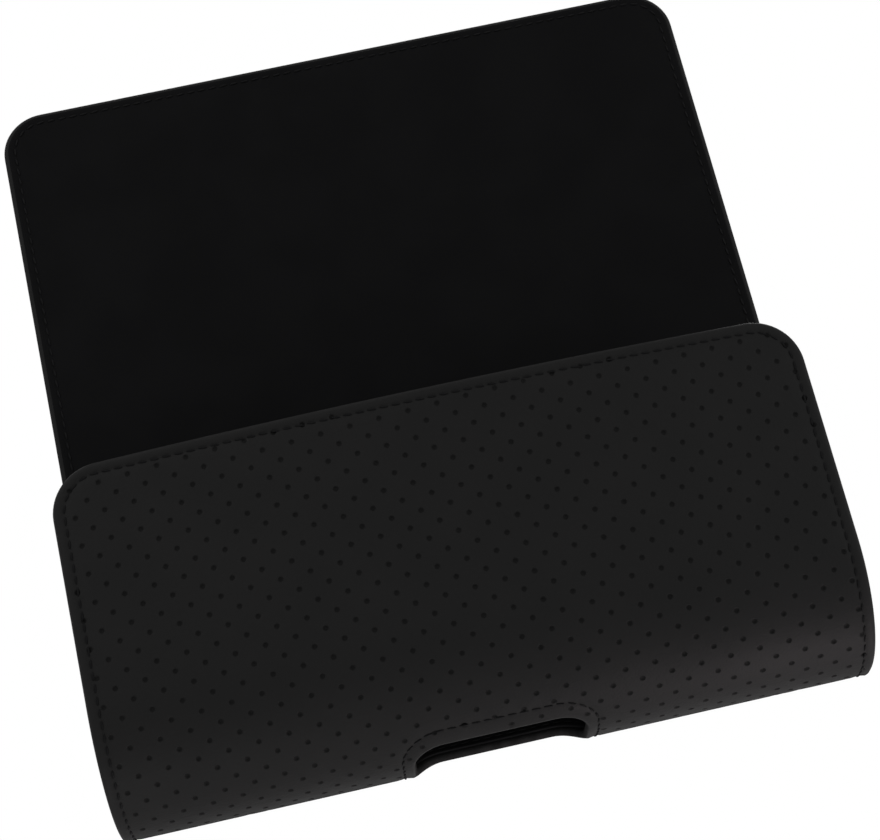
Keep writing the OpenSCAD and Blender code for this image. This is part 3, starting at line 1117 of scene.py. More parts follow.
    @staticmethod
    def _finish(mesh: bpy.types.Mesh, marks: dict[str, np.ndarray], insets: np.ndarray) -> None:
        """Turns the faces outwards and writes the attributes and the flat UV map.

        Args:
            mesh: the flat sheet.
            marks: the point attributes, a value a point each.
            insets: distance from the outline, a value a point.
        """
        edge = np.exp(-np.clip(insets, 0.0, None) / FlatPattern.EDGE_FADE)
        for name, values in {**marks, "edge_near": edge}.items():
            attribute = mesh.attributes.new(name, "FLOAT", "POINT")
            attribute.data.foreach_set("value", values.astype(np.float32))
        bm = bmesh.new()
        bm.from_mesh(mesh)
        bmesh.ops.triangulate(bm, faces=[f for f in bm.faces if len(f.verts) > 4])
        bmesh.ops.recalc_face_normals(bm, faces=bm.faces)
        loose = [e for e in bm.edges if len(e.link_faces) != 2]
        if loose:
            LOG.warning("%s has %d open edges", mesh.name, len(loose))
        uv = bm.loops.layers.uv.new("UVMap")
        for face in bm.faces:
            face.smooth = True
            for loop in face.loops:
                loop[uv].uv = loop.vert.co.xy
        bm.to_mesh(mesh)
        bm.free()


def clear_of(points: np.ndarray, others: np.ndarray, gap: float) -> np.ndarray:
    """Drops the points that lie too near others.

    Args:
        points: the points, one a row.
        others: the points to keep away from.
        gap: the least distance.

    Returns:
        The points kept.
    """
    if not len(points) or not len(others):
        return points
    return points[gaps(points, others) > gap]


def gaps(points: np.ndarray, others: np.ndarray) -> np.ndarray:
    """Distances of points from the nearest of others.

    Args:
        points: the points, one a row.
        others: the points to measure to.

    Returns:
        A distance a point.
    """
    tree = KDTree(len(others))
    for i, p in enumerate(others):
        tree.insert((p[0], p[1], 0.0), i)
    tree.balance()
    return np.array([tree.find((p[0], p[1], 0.0))[2] for p in points])


def resample(points: np.ndarray, closed: bool, spacing: float) -> np.ndarray:
    """Spaces points evenly along a line.

    Args:
        points: the line's points.
        closed: whether the line closes on itself.
        spacing: the spacing wanted.

    Returns:
        The new points, without a repeated end on a closed line.
    """
    if closed:
        points = np.vstack([points, points[:1]])
    run = np.r_[0.0, np.cumsum(np.linalg.norm(np.diff(points, axis=0), axis=1))]
    count = max(2, round(run[-1] / spacing))
    at = np.linspace(0.0, run[-1], count + 1)
    if closed:
        at = at[:-1]
    return np.c_[np.interp(at, run, points[:, 0]), np.interp(at, run, points[:, 1])]


def grid(half: float, s0: float, s1: float, dx: float, rows: Sequence[float]) -> np.ndarray:
    """A grid of plain points, shifted by half a step in every other row.

    Args:
        half: half its width.
        s0: where its rows start to count.
        s1: where they stop.
        dx: its step across.
        rows: the places of its rows.

    Returns:
        The points.
    """
    columns = np.arange(-math.ceil(half / dx), math.ceil(half / dx) + 1) * dx
    parts = [np.c_[columns + (0.5 * dx if i % 2 else 0.0), np.full(len(columns), s)]
             for i, s in enumerate(rows) if s0 < s < s1]
    return np.vstack(parts)


def bake(obj: bpy.types.Object, smooth_angle: float = 50.0) -> bpy.types.Object:
    """Turns an object's modifiers into a plain mesh.

    Args:
        obj: the object.
        smooth_angle: edges sharper than this stay sharp, in degrees.

    Returns:
        The object, with its modifiers gone.
    """
    graph = bpy.context.evaluated_depsgraph_get()
    mesh = bpy.data.meshes.new_from_object(obj.evaluated_get(graph))
    old = obj.data
    obj.modifiers.clear()
    obj.data = mesh
    mesh.name = obj.name
    bpy.data.meshes.remove(old)
    mesh.shade_smooth()
    mesh.set_sharp_from_angle(angle=math.radians(smooth_angle))
    return obj


@dataclass(frozen=True)
class Swell:
    """How a wrap swells the front: its upright axis, and where the swell starts and fades."""

    axis: float = 1000.0
    start: float = -10000.0
    fade: float = 1000.0


@dataclass
class Wrapper:
    """Bends flat patterns along one profile."""

    guide: bpy.types.Object
    across: tuple[float, float, float] = (1.0, 0.0, 0.0)
    swell: Swell = field(default_factory=Swell)

    def wrap(self, obj: bpy.types.Object, material: bpy.types.Material, dimples: float = 0.0,
             groove: float = 0.0, smooth_angle: float = 50.0) -> bpy.types.Object:
        """Embosses and bends a flat piece.

        Args:
            obj: the flat piece.
            material: its finish.
            dimples: depth of the dimples, in millimetres.
            groove: depth of the seam's groove, in millimetres.
            smooth_angle: edges sharper than this stay sharp, in degrees.

        Returns:
            The piece, as a plain mesh in its place.
        """
        add_modifier(obj, Trees.wrap(), {
            "Profile": self.guide, "Across": self.across,
            "Swell Axis": self.swell.axis * MM, "Swell Start": self.swell.start * MM,
            "Swell Fade": self.swell.fade * MM,
            "Dimple Pitch": EMBOSS.pitch * MM, "Row Pitch": EMBOSS.row * MM,
            "Row Lean": math.radians(EMBOSS.lean),
            "Lattice Start": (EMBOSS.start[0] * MM, EMBOSS.start[1] * MM, 0.0),
            "Dimple Radius": EMBOSS.radius * MM, "Dimple Bottom": EMBOSS.inner,
            "Dimple Depth": dimples * MM, "Groove Depth": groove * MM, "Material": material})
        return bake(obj, smooth_angle)

    def sew(self, name: str, lines: Sequence[tuple[np.ndarray, bool, float]],
            material: bpy.types.Material) -> bpy.types.Object:
        """Lays stitches along flat lines and bends them with the profile.

        Args:
            name: the piece's name.
            lines: (points, whether closed, height) of each line.
            material: the thread's finish.

        Returns:
            The stitches, as a plain mesh in their place.
        """
        verts: list[tuple[float, float, float]] = []
        edges: list[tuple[int, int]] = []
        for points, closed, height in lines:
            start = len(verts)
            verts += [(p[0] * MM, p[1] * MM, height * MM) for p in points]
            n = len(points)
            edges += [(start + i, start + (i + 1) % n) for i in range(n if closed else n - 1)]
        mesh = bpy.data.meshes.new(name)
        mesh.from_pydata(verts, edges, [])
        obj = linked(name, mesh)
        add_modifier(obj, Trees.stitch(), {
            "Pitch": STITCH.pitch * MM, "Length": STITCH.length * MM,
            "Thickness": STITCH.thick * MM, "Lean": math.radians(STITCH.lean),
            "Material": material})
        return self.wrap(obj, material, smooth_angle=180.0)


# Finishes


class Effects:
    """Shader node groups that more than one finish uses, each built once."""

    CELL_RANGE = (0.1, 0.7)
    PORE_RATIO = 2.3
    PORE_SHARE = 0.6
    TONE_SCALE = 55.0
    TONE_RANGE = (0.3, 0.7)
    PATCH_SCALE = 420.0
    PATCH_RANGE = (0.25, 0.75)
    PATCH_LEAST = 0.45
    EDGE_RANGE = (0.25, 0.95)

    @staticmethod
    @cache
    def grain() -> bpy.types.NodeTree:
        """Fine pebbled grain: a height and a slow shift of tone.

        Returns:
            The group, with inputs Vector, Scale and Depth and outputs Height and Tone.
        """
        b, inp, out = new_group(
            "fine_grain", "ShaderNodeTree",
            [("Vector", VECTOR, None), ("Scale", NUMBER, 1500.0), ("Depth", NUMBER, 1.0)],
            [("Height", NUMBER), ("Tone", NUMBER)])
        place, scale, depth = inp.outputs[:3]
        cells = b.add("ShaderNodeTexVoronoi", {"Vector": place, "Scale": scale}, feature="F1")
        pores = b.noise(place, b.math("MULTIPLY", scale, Effects.PORE_RATIO), 3.0)
        bumps = b.math("ADD", b.ramp(cells.outputs["Distance"], *Effects.CELL_RANGE),
                       b.math("MULTIPLY", pores, Effects.PORE_SHARE))
        b.feed(out.inputs["Height"], b.math("MULTIPLY", bumps, depth))
        b.feed(out.inputs["Tone"],
               b.ramp(b.noise(place, Effects.TONE_SCALE, 4.0), *Effects.TONE_RANGE))
        return b.tree

    @staticmethod
    @cache
    def wear() -> bpy.types.NodeTree:
        """Rub marks near an edge.

        Returns:
            The group, with inputs Vector, Edge and Amount and output Mask.
        """
        b, inp, out = new_group(
            "edge_wear", "ShaderNodeTree",
            [("Vector", VECTOR, None), ("Edge", NUMBER, 0.0), ("Amount", NUMBER, 1.0)],
            [("Mask", NUMBER)])
        place, edge, amount = inp.outputs[:3]
        patch = b.ramp(b.noise(place, Effects.PATCH_SCALE, 5.0), *Effects.PATCH_RANGE,
                       (Effects.PATCH_LEAST, 1.0))
        near = b.ramp(edge, *Effects.EDGE_RANGE)
        b.feed(out.inputs["Mask"],
               b.math("MULTIPLY", b.math("MULTIPLY", near, patch), amount, clamp=True))
        return b.tree

    @staticmethod
    @cache
    def weave() -> bpy.types.NodeTree:
        """Crossed threads: a height and a thread mask.

        Returns:
            The group, with inputs Vector and Count and outputs Height and Thread.
        """
        b, inp, out = new_group(
            "cross_weave", "ShaderNodeTree",
            [("Vector", VECTOR, None), ("Count", NUMBER, 3000.0)],
            [("Height", NUMBER), ("Thread", NUMBER)])
        x, y, _ = b.split(b.vector("SCALE", inp.outputs["Vector"], inp.outputs["Count"]))
        u, v = (b.math("ABSOLUTE", b.math("SINE", part)) for part in (x, y))
        b.feed(out.inputs["Height"], b.math("MAXIMUM", u, v))
        b.feed(out.inputs["Thread"], b.math("MULTIPLY", u, v))
        return b.tree


@dataclass(frozen=True)
class Finish:
    """A material's plain values; its sub-classes add the nodes that vary them."""

    name: str
    color: tuple[float, float, float]
    roughness: float
    specular: float = 0.5
    metallic: float = 0.0

    def material(self) -> bpy.types.Material:
        """Builds the material.

        Returns:
            The material.
        """
        material = bpy.data.materials.new(self.name)
        material.use_nodes = True
        material.diffuse_color = opaque(self.color)
        shader = material.node_tree.nodes["Principled BSDF"]
        for name, value in (("Base Color", opaque(self.color)), ("Roughness", self.roughness),
                            ("Specular IOR Level", self.specular), ("Metallic", self.metallic)):
            shader.inputs[name].default_value = value
        b = Bench(material.node_tree)
        for name, value in self.varied(b).items():
            b.feed(shader.inputs[name], value)
        return material

    def varied(self, b: Bench) -> dict[str, bpy.types.NodeSocket]:
        """Adds the nodes of what varies over the surface.

        Args:
            b: the material's bench.

        Returns:
            The socket for each input of the shader that varies, by name.
        """
        raise NotImplementedError

    @staticmethod
    def uv(b: Bench) -> bpy.types.NodeSocket:
        """Returns the socket of the piece's flat UV map."""
        return b.add("ShaderNodeUVMap", uv_map="UVMap").outputs[0]

    @staticmethod
    def space(b: Bench) -> bpy.types.NodeSocket:
        """Returns the socket of the piece's object space."""
        return b.add("ShaderNodeTexCoord").outputs["Object"]

    @staticmethod
    def group(b: Bench, tree: bpy.types.NodeTree, **values: Any) -> Any:
        """Places a shared effect in the material.

        Args:
            b: the material's bench.
            tree: the effect's group.
            values: its inputs, by name.

        Returns:
            The sockets that it puts out.
        """
        return b.add("ShaderNodeGroup", values, node_tree=tree).outputs

    @staticmethod
    def bump(b: Bench, height: Any, strength: float, distance: float) -> bpy.types.NodeSocket:
        """Turns a height into a normal.

        Args:
            b: the material's bench.
            height: the height's socket.
            strength: the bump's strength.
            distance: the height of a full step, in metres.

        Returns:
            The normal's socket.
        """
        return b.add("ShaderNodeBump", {"Strength": strength, "Distance": distance,
                                        "Height": height}).outputs[0]


@dataclass(frozen=True)
class LeatherFinish(Finish):
    """Black leather with fine grain, a slow shift of tone, rubbed edges and painted shade.

    A mark darkens the colour with painted shade: in the dimples over dimple_range by its share,
    and on the wall of a hole over wall_range by the rest.
    """

    worn: tuple[float, float, float] = (0.0116, 0.0114, 0.0114)
    tint: tuple[float, float, float] = (0.008, 0.0079, 0.0079)
    # Colour of the painted shade in the dimples and on the wall of a hole
    pit: tuple[float, float, float] = (0.0028, 0.0028, 0.0028)
    shade_share: float = 0.5
    dimple_range: tuple[float, float] = (0.2, 0.9)
    wall_range: tuple[float, float] = (1.1, 1.9)
    pit_rough: float = 0.44
    rub_rough: float = 0.06
    spread: float = 0.012
    grain_scale: float = 1500.0
    grain_depth: float = 0.00006
    grain_strength: float = 0.35
    wear: float = 0.8

    def varied(self, b: Bench) -> dict[str, bpy.types.NodeSocket]:
        """Adds grain, tone, rubbed edges, and painted shade in the dimples and on the wall of a
        hole.

        Args:
            b: the material's bench.

        Returns:
            The socket for each input of the shader that varies, by name.
        """
        uv = self.uv(b)
        grain = self.group(b, Effects.grain(), Vector=uv, Scale=self.grain_scale)
        edge, pit = (b.add("ShaderNodeAttribute", attribute_name=name).outputs["Fac"]
                     for name in ("edge_near", "pit"))
        rub = self.group(b, Effects.wear(), Vector=uv, Edge=edge, Amount=self.wear)["Mask"]
        # Painted shade: the mark darkens the colour in the dimples and on the wall of a hole
        shade_mask = b.math("ADD", b.ramp(pit, *self.dimple_range, (0.0, self.shade_share)),
                      b.ramp(pit, *self.wall_range, (0.0, 1.0 - self.shade_share)))
        tone = b.mix(shade_mask, b.mix(grain["Tone"], self.color, self.tint), self.pit)
        rough = b.ramp(grain["Tone"], 0.0, 1.0,
                       (self.roughness + self.spread, self.roughness - self.spread))
        rough = b.math("SUBTRACT", rough, b.math("MULTIPLY", rub, self.rub_rough))
        return {"Base Color": b.mix(rub, tone, self.worn),
                "Roughness": b.math("MULTIPLY_ADD", shade_mask, self.pit_rough, rough),
                "Normal": self.bump(b, grain["Height"], self.grain_strength, self.grain_depth)}


@dataclass(frozen=True)
class LiningFinish(Finish):
    """Close, matte lining cloth with a faint weave and soft unevenness."""

    shade: tuple[float, float, float] = (0.0036, 0.0036, 0.0038)
    thread_shade: float = 0.6
    spread: float = 0.03
    grain_scale: float = 700.0
    count: float = 5200.0
    weave_share: float = 0.25
    relief: float = 0.00004
    strength: float = 0.25

    def varied(self, b: Bench) -> dict[str, bpy.types.NodeSocket]:
        """Adds tone, weave and relief.

        Args:
            b: the material's bench.

        Returns:
            The socket for each input of the shader that varies, by name.
        """
        uv = self.uv(b)
        grain = self.group(b, Effects.grain(), Vector=uv, Scale=self.grain_scale)
        weave = self.group(b, Effects.weave(), Vector=uv, Count=self.count)
        tone = b.mix(grain["Tone"], self.color, self.shade)
        dark = tuple(self.thread_shade * c for c in self.color)
        height = b.math("ADD", b.math("MULTIPLY", weave["Height"], 0.5),
                        b.math("MULTIPLY", grain["Height"], 0.5))
        return {"Base Color": b.mix(b.math("MULTIPLY", weave["Thread"], self.weave_share),
                                    tone, dark),
                "Roughness": b.ramp(grain["Tone"], 0.0, 1.0,
                                    (self.roughness + self.spread, self.roughness - self.spread)),
                "Normal": self.bump(b, height, self.strength, self.relief)}


@dataclass(frozen=True)
class WovenFinish(Finish):
    """Woven elastic or thread, with its threads' relief."""

    dark: tuple[float, float, float] = (0.004, 0.004, 0.0045)
    count: float = 2600.0
    flat: bool = True
    valley_rough: float = 0.08
    relief: float = 0.0001
    strength: float = 0.5

    def varied(self, b: Bench) -> dict[str, bpy.types.NodeSocket]:
        """Adds the weave.

        Args:
            b: the material's bench.

        Returns:
            The socket for each input of the shader that varies, by name.
        """
        place = self.uv(b) if self.flat else self.space(b)
        weave = self.group(b, Effects.weave(), Vector=place, Count=self.count)
        return {"Base Color": b.mix(weave["Thread"], self.dark, self.color),
                "Roughness": b.ramp(weave["Thread"], 0.0, 1.0,
                                    (self.roughness + self.valley_rough, self.roughness)),
                "Normal": self.bump(b, weave["Height"], self.strength, self.relief)}


@dataclass(frozen=True)
class MetalFinish(Finish):
    """Drawn or plated metal, with fine lines along one axis and faint smudges."""

    metallic: float = 1.0
    lines: tuple[float, float, float] = (300.0, 40.0, 9000.0)
    smudge: float = 0.12
    smudge_shade: float = 0.72
    line_range: tuple[float, float] = (0.3, 0.7)
    line_rough: tuple[float, float] = (0.05, 0.06)
    grain_scale: float = 900.0
    relief: float = 0.00003
    strength: float = 0.12

    def varied(self, b: Bench) -> dict[str, bpy.types.NodeSocket]:
        """Adds lines and smudges.

        Args:
            b: the material's bench.

        Returns:
            The socket for each input of the shader that varies, by name.
        """
        place = self.space(b)
        drawn = b.noise(b.vector("MULTIPLY", place, self.lines), 1.0, 3.0)
        grain = self.group(b, Effects.grain(), Vector=place, Scale=self.grain_scale)
        dull = tuple(self.smudge_shade * c for c in self.color)
        less, more = self.line_rough
        rough = b.ramp(drawn, *self.line_range, (self.roughness - less, self.roughness + more))
        return {"Base Color": b.mix(b.math("MULTIPLY", grain["Tone"], self.smudge * 2),
                                    self.color, dull),
                "Roughness": b.math("ADD", rough, b.math("MULTIPLY", grain["Tone"], self.smudge)),
                "Normal": self.bump(b, drawn, self.strength, self.relief)}


@dataclass(frozen=True)
class BoardFinish(Finish):
    """Pressed fibre board with flecks."""

    fleck: tuple[float, float, float] = (0.1, 0.085, 0.07)
    fleck_range: tuple[float, float] = (0.5, 0.68)
    fibre_stretch: tuple[float, float, float] = (1.0, 1.0, 3.0)
    fibre_scale: float = 900.0
    grain_scale: float = 1200.0
    relief: float = 0.00005
    strength: float = 0.4

    def varied(self, b: Bench) -> dict[str, bpy.types.NodeSocket]:
        """Adds flecks and grain.

        Args:
            b: the material's bench.

        Returns:
            The socket for each input of the shader that varies, by name.
        """
        place = self.space(b)
        fibre = b.noise(b.vector("MULTIPLY", place, self.fibre_stretch), self.fibre_scale, 5.0)
        grain = self.group(b, Effects.grain(), Vector=place, Scale=self.grain_scale)
        return {"Base Color": b.mix(b.ramp(fibre, *self.fleck_range), self.color, self.fleck),
                "Normal": self.bump(b, grain["Height"], self.strength, self.relief)}


class Finishes:
    """The materials of the case."""

    def __init__(self) -> None:
        """Builds the materials."""
        black = (0.0074, 0.0074, 0.0074)
        self.leather = LeatherFinish("embossed_leather", black, 0.56, specular=0.035).material()
        self.cover = LeatherFinish("cover_leather", black, 0.57, specular=0.035,
                                   wear=0.6).material()
        self.lining = LiningFinish("lining_cloth", (0.0032, 0.0032, 0.0034), 0.7,
                                   specular=0.02).material()
        self.thread = WovenFinish("sewing_thread", (0.0048, 0.0048, 0.005), 0.6, specular=0.04,
                                  dark=(0.0034, 0.0034, 0.0036), count=9000.0,
                                  flat=False).material()
        self.elastic = WovenFinish("ribbed_elastic", (0.008, 0.008, 0.0084), 0.75,
                                   specular=0.05).material()
        self.steel = MetalFinish("spring_steel", (0.5, 0.51, 0.53), 0.32).material()
        self.rivet = MetalFinish("nickel_plate", (0.66, 0.65, 0.63), 0.18,
                                 lines=(900.0, 900.0, 900.0), smudge=0.08).material()
        self.magnet = MetalFinish("magnet_nickel", (0.6, 0.6, 0.62), 0.22,
                                  lines=(600.0, 600.0, 600.0)).material()
        self.board = BoardFinish("fibre_board", (0.25, 0.21, 0.17), 0.85, specular=0.2).material()


# Pieces


RIM_ANGLES = (90, 62, 34, 6, -22, -50, -90)


def turned_rim(radius: float, core: float, turn: float, leather: float, puff: float = 0.0
               ) -> list[tuple[float, float]]:
    """The rings of an edge that the leather is turned round.

    Args:
        radius: the edge's radius, half the core's thickness.
        core: thickness of leather and board together.
        turn: width of the turned-in leather.
        leather: thickness of the outer leather.
        puff: how far the edge stands up where the turned-in leather thickens it.

    Returns:
        (inset, height) of each ring.
    """
    rim = []
    for a in RIM_ANGLES:
        t = math.radians(a)
        rise = puff * max(0.0, math.sin(t)) ** 2
        rim.append((radius * (1 - math.cos(t)), -core / 2 + core / 2 * math.sin(t) + rise))
    return [*rim, (turn, -core), (turn, -leather)]


def cut_rim(inset: float, top: float, base: float, thick: float, ease: float
            ) -> list[tuple[float, float]]:
    """The rings of a thin layer's cut edge, which is eased towards its inner face.

    Args:
        inset: how far the edge is set in.
        top: height of its outer ring.
        base: height that the layer's thickness counts from.
        thick: the layer's thickness.
        ease: inset of the ring near the inner face.

    Returns:
        (inset, height) of each ring.
    """
    return [(inset, top), (inset, base - 0.6 * thick), (inset + ease, base - 0.88 * thick),
            (inset + 0.5, base - thick)]


@dataclass
class CaseShell:
    """Leather, lining and threads of the pouch, the strip and the flap.

    row_steps are the spacings of plain rows: in the tight bends, in the front's bend, and
    elsewhere on the lining and on the leather. columns are the spacings across: on the leather's
    outer face in the tight bends, on its inner face, and on the lining.
    """

    sizes: CaseSizes
    finishes: Finishes
    step: float = 0.9
    hole_step: float = 0.8
    lining_seam: float = 3.0
    lining_pull: float = 0.6
    lining_ease: float = 0.15
    hole_seam: tuple[float, float, float] = (2.8, 4.9, 9.0)
    puff: float = 0.12
    dimple_margin: float = 2.3
    row_steps: tuple[float, float, float, float] = (1.1, 2.2, 3.4, 5.0)
    columns: tuple[float, float, float] = (1.9, 5.0, 3.6)
    first_row: float = 0.8
    inner_margin: float = 0.8
    lining_margins: tuple[float, float] = (0.8, 1.0)
    crease_reach: float = 6.0
    sheet_gap: float = 1.0
    fold_lean: float = 10.0
    fold_half: float = 4.0

    def __post_init__(self) -> None:
        """Lays out the case's profile, from the front's top edge round to the flap's end."""
        z = self.sizes
        profile = Profile((-z.front_out, z.front_h - z.belt_z), -90.0)
        profile.line(z.s_bend).arc(z.front_bend, 90.0).line(z.bottom_flat)
        profile.arc(z.back_bend, 90.0).line(z.s_end - z.s_back)
        self.wrapper = Wrapper(
            profile.curve("case_profile", lambda u, v: (0.0, u, v)),
            swell=Swell(z.crown_axis, -z.back_bend, z.bottom_flat))

    def seam_at(self, x: Any) -> Any:
        """Finds the strip's seam, which runs midway between two rows of dimples.

        Args:
            x: the place across, or an array of them.

        Returns:
            The seam's place along the profile.
        """
        _, v = EMBOSS.axes()
        start = np.array(EMBOSS.start)
        row = math.floor(((np.array([0.0, self.sizes.s_seam]) - start) @ v) / EMBOSS.row) + 0.5
        return start[1] + (row * EMBOSS.row - (x - start[0]) * v[0]) / v[1]

    def sheet(self, end: float, r: float, k: int) -> Run:
        """Lays out one of the two sheets, which meet at the strip's seam.

        Args:
            end: the place of its free end along the profile.
            r: radius of its two corners there.
            k: 1 for the pouch's sheet and -1 for the flap's.

        Returns:
            Its outline.
        """
        side, inner, near = k * self.sizes.width / 2, k * (self.sizes.width / 2 - r), end + k * r
        last = (-side, self.seam_at(-side))
        return join_runs([
            straight((side, self.seam_at(side)), (side, near), (-k, 0), self.step),
            corner(inner, near, r, 90 - 90 * k, -90 * k, self.step),
            straight((inner, end), (-inner, end), (0, k), self.step),
            corner(-inner, near, r, 180 + 90 * k, 90 + 90 * k, self.step),
            straight((-side, near), last, (k, 0), self.step),
        ], False, (list(last), [k, 0]))

    def cut_outline(self) -> Run:
        """Lays out the finger cut-out.

        Returns:
            Its outline, laid flat.
        """
        z = self.sizes
        front = z.s_bottom - z.front_bend * math.acos(1 - z.cut_h / z.front_bend)
        back = z.s_back_bend + z.back_bend * math.acos(1 - z.cut_h / z.back_bend)
        run = loop_run(z.cut_w / 2, front, back, z.cut_corner, z.cut_corner, self.hole_step)
        return Run(run.points, -run.inward, True)

    def cut_seam(self) -> Run:
        """Lays out the seam round the finger cut-out, which lies further off in front.

        Returns:
            The seam line, laid flat.
        """
        cut, (beside, before, radius) = self.cut_outline().points, self.hole_seam
        run = loop_run(cut[:, 0].max() + beside, cut[:, 1].min() - before,
                       cut[:, 1].max() + beside, radius, radius, self.hole_step)
        return Run(run.points, -run.inward, True)

    def tight(self, s: float) -> bool:
        """Tells whether a place lies in the bottom, in the back's bend or near a crease.

        Args:
            s: the place along the profile.

        Returns:
            Whether points lie closer together there.
        """
        z = self.sizes
        nearest = min(abs(s - z.s_of_height(h)) for h in (z.crease_low, z.crease_high))
        return z.s_bottom <= s < z.s_back + 1 or nearest < self.crease_reach

    def rows(self, lining: bool) -> list[float]:
        """Spaces the plain rows along the profile, closer together in the bends.

        Args:
            lining: whether the rows are for the lining.

        Returns:
            The rows' places.
        """
        z = self.sizes
        tight, bend, cloth, leather = self.row_steps
        places, s = [], self.first_row
        while s < z.s_end:
            places.append(s)
            plain = bend if z.s_bend < s < z.s_bottom else (cloth if lining else leather)
            s += tight if self.tight(s) else plain
        return places

    def skin(self, name: str, outline: Run, holes: list[Run], seams: list[Run]
             ) -> bpy.types.Object:
        """Makes one of the two leather skins.

        Args:
            name: the piece's name.
            outline: its outer outline.
            holes: its holes.
            seams: the seam lines round its holes.

        Returns:
            The piece.
        """
        z = self.sizes
        rim = turned_rim(z.core / 2, z.core, z.turn, z.leather, self.puff)
        pattern = FlatPattern(outline, holes, rim, self.puff)
        low, high = outline.points[:, 1].min(), outline.points[:, 1].max()
        pattern.press(EMBOSS, self.dimple_margin)
        rows = self.rows(False)
        close = [s for s in rows if self.tight(s)]
        pattern.fill(grid(z.width / 2, low, high, self.columns[0], close), z.turn)
        pattern.fill(grid(z.width / 2, low, high, self.columns[1], rows),
                     z.turn + self.inner_margin, inner=True)
        pattern.rails([outline.moved(STITCH.inset), *seams])
        obj = pattern.build(name)
        self.wrapper.wrap(obj, self.finishes.leather, EMBOSS.depth, STITCH.groove)
        return obj

    def lining(self, name: str, outline: Run, holes: list[Run], seams: list[Run]
               ) -> bpy.types.Object:
        """Makes one of the two linings.

        Args:
            name: the piece's name.
            outline: the leather's outer outline.
            holes: its holes.
            seams: the seam lines round its holes.

        Returns:
            The piece.
        """
        z = self.sizes
        t, e = z.panel - z.core, z.lining_set
        pattern = FlatPattern(outline, holes, cut_rim(e, -z.core, -z.core, t, self.lining_ease))
        low, high = outline.points[:, 1].min(), outline.points[:, 1].max()
        plain = grid(z.width / 2, low, high, self.columns[2], self.rows(True))
        pattern.fill(plain, e + self.lining_margins[0])
        pattern.fill(plain, e + self.lining_margins[1], inner=True)
        pattern.rails([outline.moved(self.lining_seam), *seams], inner=True)
        obj = pattern.build(name)
        self.wrapper.wrap(obj, self.finishes.lining, 0.0, self.lining_pull * STITCH.groove)
        return obj

    def threads(self, name: str, outline: Run, seams: list[Run]) -> bpy.types.Object:
        """Makes the stitches of one skin, on its leather and on its lining.

        Args:
            name: the piece's name.
            outline: the leather's outer outline.
            seams: the seam lines round its holes.

        Returns:
            The piece.
        """
        lines, raised = [], STITCH.sunk * STITCH.thick
        inside_at = self.lining_pull * STITCH.groove - self.sizes.panel - raised
        for inset, height in ((STITCH.inset, raised - STITCH.groove),
                              (self.lining_seam, inside_at)):
            for run in [outline.moved(inset), *seams]:
                line = resample(run.points, run.closed, THREAD_STEP)
                if not run.closed:
                    off = np.abs(line[:, 1] - self.seam_at(line[:, 0]))
                    line = line[off > self.sheet_gap]
                lines.append((line, run.closed, height))
        obj = self.wrapper.sew(name, lines, self.finishes.thread)
        return obj

    def bend_at(self, obj: bpy.types.Object) -> None:
        """Bakes a piece's placement into its mesh.

        Args:
            obj: the piece.
        """
        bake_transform(obj)

    def build(self) -> list[bpy.types.Object]:
        """Builds the shell.

        Returns:
            Its pieces.
        """
        z = self.sizes
        cut, seam = [self.cut_outline()], [self.cut_seam()]
        pouch, flap = self.sheet(0.0, z.front_corner, 1), self.sheet(z.s_end, z.flap_corner, -1)
        pouch_skin = self.skin("pouch_skin", pouch, cut, seam)
        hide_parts("body_leather", "strip_leather")
        flap_skin = self.skin("flap_skin", flap, [], [])
        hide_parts("flap_leather")
        pouch_lining = self.lining("pouch_lining", pouch, cut, seam)
        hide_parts("body_lining", "strip_lining")
        flap_lining = self.lining("flap_cloth", flap, [], [])
        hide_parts("flap_lining")
        pouch_threads = self.threads("pouch_threads", pouch, seam)
        flap_threads = self.threads("flap_threads", flap, [])
        for obj in (pouch_skin, pouch_lining, pouch_threads):
            self.bend_at(obj)
        for obj in (flap_skin, flap_lining, flap_threads):
            self.bend_at(obj)
        bpy.data.objects.remove(self.wrapper.guide)
        return [pouch_skin, flap_skin, pouch_lining, flap_lining, pouch_threads, flap_threads]


